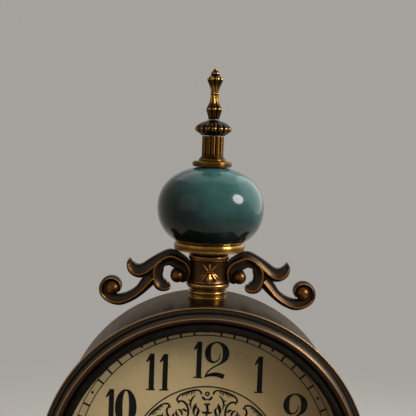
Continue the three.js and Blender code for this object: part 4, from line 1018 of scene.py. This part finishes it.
def eye_button(curl, root, size, depth):
    """The round button that a curl winds on, domed on both faces with a groove round its waist."""
    radius = curl["eye"] * size
    side = []
    for i in range(DOME_STEPS + 1):
        angle = math.pi / 2 * i / DOME_STEPS
        up = DOME_FOOT_SHARE + (1 - DOME_FOOT_SHARE) * math.cos(angle)
        side.append((radius * math.sin(angle), depth * up))
    side += shared(WAIST_SHARES, 0, radius, 0, depth)
    outline = side + [(r, -h) for r, h in reversed(side[:-1])]
    points, faces = lathe(outline, SMALL_SIDES)
    placed = [(x + root + curl["x"] * size, z, y + curl["z"] * size) for x, y, z in points]
    rub = []
    for r, h in outline:
        dome = DOME_RUB + DOME_TOP_RUB * (1 - min(1, r / radius))
        rub.append(dome if abs(h) > depth * DOME_EDGE_SHARE else WAIST_RUB)
    return placed, faces, rub * SMALL_SIDES


def scroll(name, form, root, size, base):
    """A scroll on each side of its hub, as a casting of three bands and two buttons."""
    def scaled(key):
        return [(root + x * size, z * size, half * size, ridge) for x, z, half, ridge in form[key]]

    depth = form["ridge_half"] * form["eye_depth"]
    curls = {key: curl_rows(form[key], root, size) for key in ("arm_curl", "lower_curl")}
    arm = [curls["arm_curl"], scaled("arm")] if form["curl_first"] else [scaled("arm"), curls["arm_curl"]]
    parts = [band(rows, form["ridge_half"], form["edge_half"])
             for rows in (arm[0] + arm[1], scaled("lower") + curls["lower_curl"], scaled("leaf"))]
    parts += [eye_button(form[key], root, size, depth) for key in curls]
    points, faces = joined([part[:2] for part in parts])
    rub = [value for part in parts for value in part[2]]
    for side, hand in ((1, "right"), (-1, "left")):
        placed = [(x * side, y, z + base) for x, y, z in points]
        add_piece(f"{name}_scroll_cast_{hand}", placed, faces, "bronze", [f"{name}_scroll_{hand}"],
                  sharp=CAST_SHARP, rub=rub)


LOWER_ROOT = 15.5
DRUM_ROOM = 17.8
CREST_REACH = 74


def make_scrolls():
    scroll("crest", CREST, CREST_HUB_OUTER, CREST_REACH - CREST_HUB_OUTER, levels("drum_shell")[1])
    reach = half_width("drum_shell") + DRUM_ROOM
    scroll("side", SIDE, LOWER_HUB_OUTER, reach - LOWER_HUB_OUTER, levels("lower_hub")[0] + LOWER_ROOT)


# Palm leaf on the front of the crest hub: each leaf from the knot, as rows of x, z and half width

PALMETTE_KNOT = 13.1
PALMETTE_ASIDE = 0.5
PALMETTE_SUNK = 1.0
PALMETTE_SHARP = 30
LEAF_STEPS = 5
LEAF_ACROSS = 8
LEAF_TOP_SHARE = 0.75
LEAF_STEEPNESS = 0.62
# Wear on the leaf tops, and the dark steep edges, walls and back of each leaf, which are painted shade that
# outlines it against the hub
LEAF_RUB = 0.76
LEAF_PAINTED_SHADE_RUB = 0.1
SEAT_REACH = 0.8
UPPER_MIDDLE = [(0, 1.0, 0.5), (0, 2.6, 0.85), (0, 4.6, 1.15), (0, 6.0, 0.3)]
UPPER_SIDE = [(1.3, 1.2, 0.5), (2.5, 2.7, 0.9), (4.0, 4.4, 1.1), (5.1, 5.7, 0.3)]
KNOT_BAND = [(-2.8, 0, 0.4), (-1.4, 0.05, 0.75), (1.4, 0.05, 0.75), (2.8, 0, 0.4)]
LOWER_MIDDLE = [(0, -0.9, 0.8), (0, -2.6, 1.9), (0, -4.4, 3.1), (0, -5.8, 2.0), (0, -7.2, 0.2)]
LOWER_INNER = [(1.9, -1.1, 0.5), (3.0, -2.7, 0.85), (4.3, -4.5, 1.0), (5.0, -5.6, 0.3)]
LOWER_SIDE = [(3.0, -0.9, 0.4), (4.4, -2.0, 0.75), (5.7, -3.3, 0.85), (6.4, -4.1, 0.25)]
LEAVES = [(UPPER_MIDDLE, 0.9), (LOWER_MIDDLE, 0.7), (KNOT_BAND, 1.2)]
LEAF_PAIRS = [(UPPER_SIDE, 0.9), (LOWER_INNER, 0.9), (LOWER_SIDE, 0.9)]


def relief_leaf(rows, rise, seat):
    """A raised leaf with a ridge between two slopes, on a round body whose radius at a height is seat."""
    path = flowing(rows, LEAF_STEPS)
    points, rub = [], []
    for (x, z, half), along in directed(path):
        front = []
        for j in range(LEAF_ACROSS + 1):
            side = 2 * j / LEAF_ACROSS - 1
            place_x = x - along.y * half * side
            place_z = z + along.x * half * side
            slope = LEAF_STEEPNESS * half * max(0, LEAF_TOP_SHARE - abs(side))
            step = rise * min(1, (1 - abs(side)) / (1 - LEAF_TOP_SHARE))
            radius = seat(place_z) + slope + step
            front.append((place_x, -math.sqrt(radius ** 2 - place_x ** 2), place_z))
            # The steep edges get no wear colour: painted shade that outlines each leaf
            rub.append(LEAF_RUB if abs(side) <= LEAF_TOP_SHARE else 0.0)
        points += front + moved(reversed(front), y=rise + PALMETTE_SUNK)
        # The walls and back are dark too: painted shade round the leaf
        rub += [LEAF_PAINTED_SHADE_RUB] * len(front)
    return points, skin(len(path), 2 * (LEAF_ACROSS + 1)), rub


def make_palmette():
    low, high = levels("crest_hub")
    profile = flowing(shared(HUB_SHARES, CREST_HUB_INNER, CREST_HUB_OUTER, -PALMETTE_KNOT, high - low))

    def seat(height):
        near = (radius for radius, z in profile if abs(z - height) < SEAT_REACH)
        return max(near, default=CREST_HUB_INNER)

    chosen = list(LEAVES)
    for rows, rise in LEAF_PAIRS:
        chosen += [(rows, rise), ([(-x, z, half) for x, z, half in rows], rise)]
    parts = [relief_leaf(rows, rise, seat) for rows, rise in chosen]
    points, faces = joined([part[:2] for part in parts])
    rub = [value for part in parts for value in part[2]]
    placed = moved(points, PALMETTE_ASIDE, 0, low + PALMETTE_KNOT)
    add_piece("crest_palmette", placed, faces, "bronze", rub=rub, sharp=PALMETTE_SHARP)


# Drum, bezel, glass and dial, turned about the drum's axis with forward as up

WALL = 2
SHELL_EASE = 0.3
LEDGE_EASE = 0.2
BACK_EDGE_EASE = 0.9
BACK_LIP_EASE = 0.5
LEDGE_BACK = 3.2
LEDGE_FRONT = 5
LEDGE_REACH = 8
DIAL_HOLE = 4.3
SPACER_WIDTH = 6.5

# Outlines from a piece's outer radius inwards and from its back forwards, each corner with its ease
BEZEL = [
    (8.5, 0, 0.3), (6.1, 0, 0.3), (6.1, 5.3, 0.2), (2.5, 5.3, 0.6), (0.1, 7.2, 1.2), (0, 11.4, 0.4),
    (0.25, 12, 0.25), (0.7, 11.95, 0.2), (1, 11.6, 0.3), (1.9, 11.5, 0.6), (2.9, 11.6, 0.5), (3.4, 11.7, 0.3),
    (3.8, 12.3, 0.3), (4, 12.8, 0.5), (4.7, 14.3, 0.9), (5.8, 15.4, 0.4), (6.3, 15.65, 0.2), (6.8, 15.5, 0.3),
    (8.4, 14.7, 0.9), (9.7, 13.4, 0.7), (10.3, 11.5, 0.2), (8.5, 11.5, 0.2),
]
THROAT = [
    (6.5, 0, 0.2), (0, 0, 0.1), (0, 0.7, 0.1), (1.8, 0.7, 0.1), (1.8, 3.7, 0.5), (3.3, 4.6, 0.8), (5, 4.6, 1),
    (6.3, 3.4, 0.8), (6.5, 1.9, 0.4),
]

# Flat discs and rings of the drum: look, radius of the hole and ease of the edges
FLAT_PIECES = {
    "dial_spacer": ("dial_spacer_eased", "black_lip", half_width("dial_spacer") - SPACER_WIDTH, 0.3),
    "glass": ("glass_pane", "clear_glass", 0, 0.2),
    "dial": ("dial_face", "dial_print", DIAL_HOLE, 0.1),
}


def from_rim(node, corners):
    """An outline measured from a node's rim and back, as radius and distance forward."""
    radius = half_width(node)
    back = depths(node)[0]
    return rounded([(radius - inwards, back + ahead, ease) for inwards, ahead, ease in corners])


def make_drum():
    radius = half_width("drum_shell")
    back, front = depths("drum_shell")
    inside, ledge = radius - WALL, radius - LEDGE_REACH
    shell = [
        (inside, back, BACK_LIP_EASE), (radius, back, BACK_EDGE_EASE), (radius, front, SHELL_EASE),
        (inside, front, SHELL_EASE), (inside, back + LEDGE_FRONT, LEDGE_EASE),
        (ledge, back + LEDGE_FRONT, LEDGE_EASE), (ledge, back + LEDGE_BACK, LEDGE_EASE),
        (inside, back + LEDGE_BACK, LEDGE_EASE),
    ]
    drum_piece("drum_shell_spun", rounded(shell), "drum_metal", "drum_shell")
    drum_piece("bezel_turned", from_rim("bezel", BEZEL), "bronze", "bezel", "bezel_metal")
    drum_piece("throat_ring_turned", from_rim("throat_ring", THROAT), "black_lip", "throat_ring")
    for node, (name, slot, hole, ease) in FLAT_PIECES.items():
        drum_piece(name, plate(hole, half_width(node), *depths(node), ease), slot, node)


# Print on the dial: numerals, minute track and a foliate pattern, each stroke a thin raised film

PRINT_HEIGHT = 0.08
FILM = 0.01
LEVEL_STEP = 0.004
LEVELS = 9
STROKE_STEPS = 6
NUMERAL_HEIGHT = 24.3
NUMERAL_RADIUS = 65.6
NUMERAL_SHIFT = (1.3, 1.1)
NUMERAL_LEAN_SHARE = 0.05
ONE_ADVANCE_SHARES = {"0": 0.25, "1": 0.358, "2": 0.284}

# Digits as strokes of (across, up, width), in shares of the height
STEM = [(0.155, 0.0, 0.14), (0.155, 0.5, 0.138), (0.158, 0.995, 0.132)]
ONE = [
    STEM, [(0.19, 0.992, 0.03), (0.105, 0.905, 0.085), (0.052, 0.82, 0.062), (0.014, 0.775, 0.045)],
    [(0.015, 0.024, 0.045), (0.07, 0.018, 0.036), (0.2, 0.018, 0.036), (0.255, 0.024, 0.045)],
]
TWO = [
    [
        (0.42, 0.69, 0.018), (0.41, 0.57, 0.03), (0.345, 0.478, 0.042), (0.24, 0.448, 0.06),
        (0.14, 0.52, 0.125), (0.097, 0.69, 0.165), (0.135, 0.86, 0.12), (0.225, 0.952, 0.06),
        (0.335, 0.985, 0.042), (0.46, 0.935, 0.085), (0.556, 0.81, 0.155), (0.578, 0.67, 0.178),
        (0.545, 0.535, 0.135), (0.47, 0.445, 0.07), (0.37, 0.375, 0.045), (0.22, 0.285, 0.042),
        (0.11, 0.18, 0.042), (0.052, 0.07, 0.04), (0.035, 0.015, 0.03),
    ],
    [
        (0.03, 0.02, 0.02), (0.09, 0.07, 0.06), (0.2, 0.105, 0.095), (0.33, 0.115, 0.115),
        (0.45, 0.09, 0.125), (0.545, 0.052, 0.13),
    ],
]
BOWL = [
    (0.2, 0.535, 0.035), (0.34, 0.535, 0.06), (0.475, 0.445, 0.14), (0.495, 0.27, 0.17), (0.42, 0.095, 0.11),
    (0.27, 0.02, 0.042), (0.13, 0.055, 0.05), (0.065, 0.13, 0.08), (0.085, 0.21, 0.1),
]
THREE = [
    [
        (0.1, 0.79, 0.1), (0.085, 0.87, 0.07), (0.15, 0.95, 0.045), (0.275, 0.983, 0.042),
        (0.41, 0.92, 0.11), (0.455, 0.77, 0.155), (0.39, 0.62, 0.1), (0.27, 0.545, 0.045),
        (0.19, 0.535, 0.03),
    ],
    BOWL,
]
FOUR = [
    [(0.4, 0.985, 0.05), (0.21, 0.62, 0.045), (0.035, 0.26, 0.045)],
    [(0.02, 0.25, 0.045), (0.3, 0.238, 0.05), (0.6, 0.25, 0.06)],
    [(0.42, 0.985, 0.09), (0.42, 0.6, 0.14), (0.42, 0.0, 0.145)],
    [(0.29, 0.024, 0.05), (0.35, 0.018, 0.036), (0.49, 0.018, 0.036), (0.55, 0.024, 0.05)],
]
FIVE_SHIFT = 0.005
FIVE_STRETCH = 1.12
FIVE = [
    [(0.09, 0.945, 0.06), (0.2, 0.905, 0.11), (0.34, 0.905, 0.1), (0.45, 0.95, 0.06), (0.5, 0.99, 0.02)],
    [(0.1, 0.96, 0.045), (0.088, 0.75, 0.045), (0.08, 0.56, 0.045)],
    [(0.08, 0.56, 0.03), (0.17, 0.615, 0.045)]
    + [(x + FIVE_SHIFT, z * FIVE_STRETCH, width) for x, z, width in BOWL[1:]],
]
SIX = [
    [
        (0.5, 0.88, 0.09), (0.45, 0.96, 0.06), (0.35, 0.985, 0.042), (0.2, 0.88, 0.1), (0.105, 0.64, 0.165),
        (0.1, 0.36, 0.18), (0.165, 0.12, 0.12), (0.3, 0.018, 0.045), (0.435, 0.11, 0.12),
        (0.485, 0.3, 0.17), (0.43, 0.49, 0.115), (0.32, 0.565, 0.045), (0.21, 0.52, 0.04),
        (0.14, 0.42, 0.03),
    ],
]
SEVEN = [
    [
        (0.03, 0.8, 0.03), (0.06, 0.91, 0.07), (0.18, 0.945, 0.1), (0.32, 0.905, 0.1), (0.44, 0.925, 0.07),
        (0.52, 0.985, 0.025),
    ],
    [(0.51, 0.97, 0.03), (0.41, 0.78, 0.05), (0.3, 0.54, 0.085), (0.225, 0.28, 0.135), (0.2, 0.0, 0.155)],
]


OVAL_STEPS = 28
OVAL_POWER = 1.5


def oval(middle_x, middle_z, half_x, half_z, thin, thick):
    """A closed stroke round an oval, thick at its sides and thin above and below."""
    rows = []
    for i in range(OVAL_STEPS + 1):
        angle = math.pi / 2 + math.tau * i / OVAL_STEPS
        width = thin + (thick - thin) * abs(math.cos(angle)) ** OVAL_POWER
        rows.append((middle_x + half_x * math.cos(angle), middle_z + half_z * math.sin(angle), width))
    return rows


# Each digit's width and strokes
WIDTH_SHARE = 0.58
DIGITS = {
    "0": (WIDTH_SHARE, [oval(0.29, 0.5, 0.187, 0.475, 0.05, 0.205)]),
    "1": (0.26, ONE), "2": (0.64, TWO), "3": (WIDTH_SHARE, THREE), "4": (0.62, FOUR),
    "5": (WIDTH_SHARE, FIVE), "6": (WIDTH_SHARE, SIX), "7": (0.55, SEVEN),
    "8": (WIDTH_SHARE, [
        oval(0.29, 0.755, 0.15, 0.225, 0.045, 0.14), oval(0.29, 0.28, 0.19, 0.255, 0.045, 0.17),
    ]),
    "9": (WIDTH_SHARE, [[(WIDTH_SHARE - x, 1 - z, width) for x, z, width in stroke] for stroke in SIX]),
}


def brush(rows, level, steps):
    """A thin closed film along rows of x, z and width, with its front at a level above the dial."""
    path = flowing(rows, steps)
    points = []
    for (x, z, width), along in directed(path):
        for side, height in ((-1, level), (1, level), (1, FILM), (-1, FILM)):
            reach = side * width / 2
            points.append((x + along.y * reach, -height, z - along.x * reach))
    return points, skin(len(path), 4)


class Print:
    """Strokes on the dial, each a little higher than the last so that no two faces coincide."""

    def __init__(self):
        self.parts = []

    def stroke(self, rows, steps=STROKE_STEPS):
        level = PRINT_HEIGHT + LEVEL_STEP * (len(self.parts) % LEVELS)
        self.parts.append(brush(rows, level, steps))

    def polar(self, rows, turn=0.0, steps=STROKE_STEPS, mirror=1):
        """A stroke whose rows are degrees from the top, a radius and a width."""
        placed = []
        for degrees, radius, width in rows:
            angle = math.radians(turn + degrees * mirror)
            placed.append((radius * math.sin(angle), radius * math.cos(angle), width))
        self.stroke(placed, steps)

    def ring(self, radius, width):
        self.polar([(360 * i / DRUM_SIDES, radius, width) for i in range(DRUM_SIDES + 1)], steps=1)

    def loop(self, degrees, radius, size, widths, sides, steps):
        """A small round at a place on the dial, whose stroke takes its widths in turn."""
        x, z = radius * math.sin(math.radians(degrees)), radius * math.cos(math.radians(degrees))
        rows = []
        for i in range(sides + 1):
            angle = math.tau * i / sides
            rows.append((x + size * math.cos(angle), z + size * math.sin(angle), widths[i % len(widths)]))
        self.stroke(rows, steps)

    def finish(self, name, shift=(0, 0)):
        points, faces = joined(self.parts)
        placed = moved(points, shift[0], span("dial")[0][1], drum_frame() + shift[1])
        add_piece(name, placed, faces, "dial_print", look="ink")


def make_numerals():
    ink = Print()
    for hour in range(1, 13):
        text = str(hour)
        angle = math.tau * hour / 12
        starts = [0.0] if len(text) == 1 else [0.0, ONE_ADVANCE_SHARES[text[1]]]
        total = starts[-1] + DIGITS[text[-1]][0]
        lean = NUMERAL_LEAN_SHARE if text in ("10", "12") else 0
        middle_x = NUMERAL_SHIFT[0] + NUMERAL_RADIUS * math.sin(angle)
        middle_z = NUMERAL_SHIFT[1] + NUMERAL_RADIUS * math.cos(angle)
        for digit, start in zip(text, starts):
            for rows in DIGITS[digit][1]:
                ink.stroke([(
                    middle_x + NUMERAL_HEIGHT * (start + x + lean - total / 2),
                    middle_z + NUMERAL_HEIGHT * (z - 0.5), NUMERAL_HEIGHT * thick,
                ) for x, z, thick in rows])
    ink.finish("dial_numerals")


TRACK_INNER = 81.6
TRACK_INNER_LINE = 0.65
TRACK_OUTER = 86.2
TRACK_OUTER_LINE = 0.5
TRACK_BAR = 1.25
TRACK_DOT_RADIUS = 84.2
TRACK_DOT = 0.9
TRACK_DOT_LINE = 0.882
TRACK_DOT_SIDES = 14
TRACK_SHIFT = (0.1, 1.3)


def make_track():
    ink = Print()
    ink.ring(TRACK_INNER, TRACK_INNER_LINE)
    ink.ring(TRACK_OUTER, TRACK_OUTER_LINE)
    for minute in range(60):
        turn = 6 * minute
        if minute % 5 == 0:
            ink.loop(turn, TRACK_DOT_RADIUS, TRACK_DOT / 2, (TRACK_DOT_LINE,), TRACK_DOT_SIDES, 1)
        else:
            ink.polar([(0, TRACK_INNER, TRACK_BAR), (0, TRACK_OUTER, TRACK_BAR)], turn, 1)
    ink.finish("dial_minute_track", TRACK_SHIFT)


# One half sector of the pattern, as strokes whose rows are degrees, radius and width
HALF_SECTOR = [
    [(5.2, 44.0, 0.8), (5.3, 45.5, 1.0), (7.0, 46.9, 0.85), (9.6, 47.4, 0.75), (13.5, 47.2, 0.95),
     (18.0, 46.9, 1.0), (22.5, 46.5, 0.9), (25.6, 45.0, 0.95), (26.0, 43.6, 0.9), (24.6, 43.0, 0.55)],
    [(26.6, 41.9, 0.55), (25.2, 42.8, 0.9), (22.6, 42.4, 1.0), (20.4, 40.4, 1.1), (19.6, 37.6, 1.05),
     (20.3, 34.6, 1.1), (22.6, 32.0, 1.0), (26.4, 30.4, 0.8), (29.2, 30.8, 0.5)],
    [(9.6, 44.2, 0.3), (12.4, 42.8, 0.8), (15.0, 40.6, 1.0), (16.4, 38.0, 0.8), (16.6, 35.6, 0.4)],
    [(17.2, 42.2, 0.25), (16.0, 41.4, 0.7), (15.0, 40.4, 0.5)],
    [(18.4, 39.6, 0.2), (17.2, 38.8, 0.6), (16.4, 37.8, 0.5)],
    [(10.6, 38.8, 0.2), (11.9, 36.9, 1.5), (14.2, 34.6, 1.5), (15.2, 32.0, 0.7), (14.0, 29.8, 0.3)],
    [(11.0, 36.4, 0.3), (9.2, 34.1, 1.1), (10.6, 31.8, 1.3), (13.4, 29.6, 0.8)],
    [(25.9, 37.6, 0.3), (23.6, 36.5, 1.2), (22.0, 34.8, 0.8)],
    [(29.4, 38.6, 0.3), (27.8, 37.4, 1.0), (27.2, 35.4, 1.1), (28.6, 33.6, 0.6)],
    [(4.4, 42.9, 0.4), (3.6, 41.7, 1.3), (1.6, 40.4, 0.8), (0, 40.9, 0.6)],
    [(3.3, 36.8, 0.4), (1.8, 37.8, 0.7), (0.8, 36.6, 0.7), (0.3, 35.2, 0.5)],
    [(6.1, 32.8, 0.3), (3.3, 31.7, 1.1), (0.5, 32.2, 0.9)],
    [(0, 26.6, 0.5), (7, 27.2, 1.0), (15, 25.4, 1.1), (20, 21.9, 0.9), (17, 19.2, 0.8), (10, 20.0, 0.7)],
    [(28.0, 27.2, 0.3), (25.0, 24.2, 1.6), (27.4, 20.4, 0.6)],
    [(4, 24.4, 0.3), (7, 22.0, 1.4), (4, 18.8, 0.5)],
]
STALKS = [
    [(0.8, 38.6, 0.3), (0.1, 36.2, 1.1), (0.9, 33.0, 1.2), (-0.4, 29.8, 0.9), (0, 27.6, 0.3)],
    [(0, 25.4, 0.3), (0, 22.2, 1.5), (0, 18.0, 0.5)],
]
BARBS = 8
BARB_START = 9.6
BARB_STEP = 1.5
BARB_ROOT = (47.0, 0.95)
BARB_TIP = (46.2, 0.35)
BARB_LEAN = 1.0
BARB_DRAW = 0.07
BARB_LENGTHS = (0.9, 1.45, 2.0)
FLOWER_RADIUS = 44.4
FLOWER_SIZE = 1.1
PETALS = 12
PETAL_WIDTHS = (0.85, 1.25)
ORNAMENT_BOLD = 1.35
MEDALLION = 49.1
MEDALLION_LINE = 0.95
MEDALLION_SHIFT = (1.2, 0)
CENTRE_RINGS = [(16.6, 0.5), (15.0, 0.35)]
SECTORS = 6


def bold(rows):
    return [(degrees, radius, width * ORNAMENT_BOLD) for degrees, radius, width in rows]


def barbs(ink, turn, mirror):
    """Short strokes of uneven length along the inner side of a scroll near the rim."""
    for k in range(BARBS):
        degrees = BARB_START + BARB_STEP * k
        root = (degrees, BARB_ROOT[0] - BARB_DRAW * k, BARB_ROOT[1])
        tip = (degrees + BARB_LEAN, BARB_TIP[0] - BARB_LENGTHS[k % len(BARB_LENGTHS)], BARB_TIP[1])
        ink.polar([root, tip], turn, 2, mirror)


def make_ornament():
    ink = Print()
    ink.ring(MEDALLION, MEDALLION_LINE)
    for sector in range(SECTORS):
        turn = 360 * sector / SECTORS
        for mirror in (1, -1):
            barbs(ink, turn, mirror)
            for rows in HALF_SECTOR:
                ink.polar(bold(rows), turn, mirror=mirror)
        for rows in STALKS:
            ink.polar(bold(rows), turn)
        ink.loop(turn, FLOWER_RADIUS, FLOWER_SIZE, PETAL_WIDTHS, PETALS, 2)
    for radius, line in CENTRE_RINGS:
        ink.ring(radius, line)
    ink.finish("dial_ornament", MEDALLION_SHIFT)


# Rear of the drum and the movement inside it

MOVING = {
    "hour_hand": "hours", "hour_wheel": "hours", "minute_hand": "minutes", "cannon_pinion": "minutes",
    "second_hand": "seconds", "seconds_arbor": "seconds", "minute_wheel": "setting", "set_knob": "setting",
    "rear_door": "access_door", "door_pull": "access_door",
}
EASED = {
    "gold_brass": ["door_hinge_leaf", "dial_nut"],
    "drum_metal": ["back_plate", "rear_door"],
    "steel": [
        "crest_rod_nut", "crest_rod_washer", "pedestal_nut_foot", "pedestal_nut_top", "pedestal_washer_foot",
        "pedestal_washer_top", "back_screw_1", "back_screw_2", "back_screw_3", "door_magnet", "contact_plus",
        "contact_minus",
    ],
    "dark_plastic": ["movement_case", "movement_cover", "dial_washer", "motor_unit", "set_knob"],
    "gear_plastic": ["hour_wheel", "cannon_pinion", "minute_wheel"],
    "cell_wrap": ["battery"],
    "circuit": ["circuit_board"],
    "copper_wire": ["motor_coil"],
    "hand_black": ["hour_hand", "minute_hand", "second_hand"],
}
FINE = {"hour_wheel", "cannon_pinion", "minute_wheel", "second_hand", "contact_plus", "contact_minus"}
FINE_EASE = 0.06
EASE = 0.25
STEEL_NODES = ["crest_rod", "pedestal_rod", "door_hinge_pin", "seconds_arbor"]


def make_works():
    for slot, nodes in EASED.items():
        for node in nodes:
            eased_copy(node, slot, MOVING.get(node, BODY), FINE_EASE if node in FINE else EASE)
    for node in STEEL_NODES:
        for material_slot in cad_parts[node].material_slots:
            material_slot.material = LOOKS["steel"]


PULL_STEM = 1
PULL_SHARES = [
    (0.55, 0.0), (0.5, 0.14), (0.5, 0.3), (0.72, 0.45), (0.95, 0.58), (1.0, 0.7), (0.97, 0.84), (0.8, 0.95),
    (0.4, 1.0), (0.0, 1.0),
]


def make_pull():
    """The turned pull of the rear door, with its stem through the door."""
    low, high = span("door_pull")
    door_back = span("rear_door")[1][1]
    side = flowing(shared(PULL_SHARES, 0, (high[2] - low[2]) / 2, 0, high[1] - door_back))
    stem = low[1] - door_back
    points, faces = lathe([(0, stem), (PULL_STEM, stem), (PULL_STEM, 0)] + side, SMALL_SIDES)
    middle_x, middle_z = (low[0] + high[0]) / 2, (low[2] + high[2]) / 2
    placed = [(x + middle_x, door_back + z, y + middle_z) for x, y, z in points]
    add_piece("door_pull_turned", placed, faces, "gold_brass", ["door_pull"], "access_door")


# Floor, backdrop and lamps

def make_floor():
    rim, _ = lathe([(FLOOR_RADIUS * MM, 0)], SMALL_SIDES)
    mesh = bpy.data.meshes.new("floor")
    mesh.from_pydata(rim, [], [range(SMALL_SIDES)])
    floor = bpy.data.objects.new("floor", mesh)
    bpy.context.scene.collection.objects.link(floor)
    look = Surface("floor", roughness=0.9)
    look.set("Base Color", (*FLOOR_COLOUR, 1))
    away = look.vector("LENGTH", look.place, output="Value")
    fade = look.remap(away, FLOOR_NEAR * MM, FLOOR_FAR * MM, interpolation_type="SMOOTHSTEP")
    look.clear_where(fade)
    mesh.materials.append(look.material)


def make_world():
    world = bpy.data.worlds.new("backdrop")
    world.use_nodes = True
    background = world.node_tree.nodes["Background"]
    background.inputs["Color"].default_value = (*BACKDROP, 1)
    background.inputs["Strength"].default_value = 1
    bpy.context.scene.world = world


# Area lamps that face the clock: degrees to the right of the front, degrees up, distance, width,
# height, watts, shape, and whether reflections show them
LAMP_TARGET = (0, 0, 350)
LAMPS = {
    "window": (64, 29, 1500, 620, 660, 22, "ELLIPSE", True),
    "sky": (48, 62, 2000, 2500, 2500, 21, "ELLIPSE", False),
    "side": (120, 24, 1500, 2100, 1700, 8.5, "ELLIPSE", True),
    "fill": (-50, 20, 1800, 1400, 1400, 2, "RECTANGLE", True),
    "rear": (180, 62, 2200, 2600, 2000, 9, "RECTANGLE", True),
}


def make_light():
    for name, (azimuth, elevation, away, wide, high, power, shape, glossy) in LAMPS.items():
        data = bpy.data.lights.new(name, "AREA")
        data.shape = shape
        data.size = wide * MM
        data.size_y = high * MM
        data.energy = power
        turn, rise = math.radians(azimuth), math.radians(elevation)
        way = Vector((math.sin(turn) * math.cos(rise), -math.cos(turn) * math.cos(rise), math.sin(rise)))
        lamp = bpy.data.objects.new(name, data)
        lamp.visible_camera = False
        lamp.visible_glossy = glossy
        lamp.location = (Vector(LAMP_TARGET) + way * away) * MM
        lamp.rotation_euler = way.to_track_quat("Z", "Y").to_euler()
        bpy.context.scene.collection.objects.link(lamp)


bpy.context.scene.view_settings.view_transform = "Standard"
make_camera()
make_world()
make_light()
make_floor()
make_stack()
make_finial()
make_scrolls()
make_palmette()
make_drum()
make_numerals()
make_track()
make_ornament()
make_works()
make_pull()
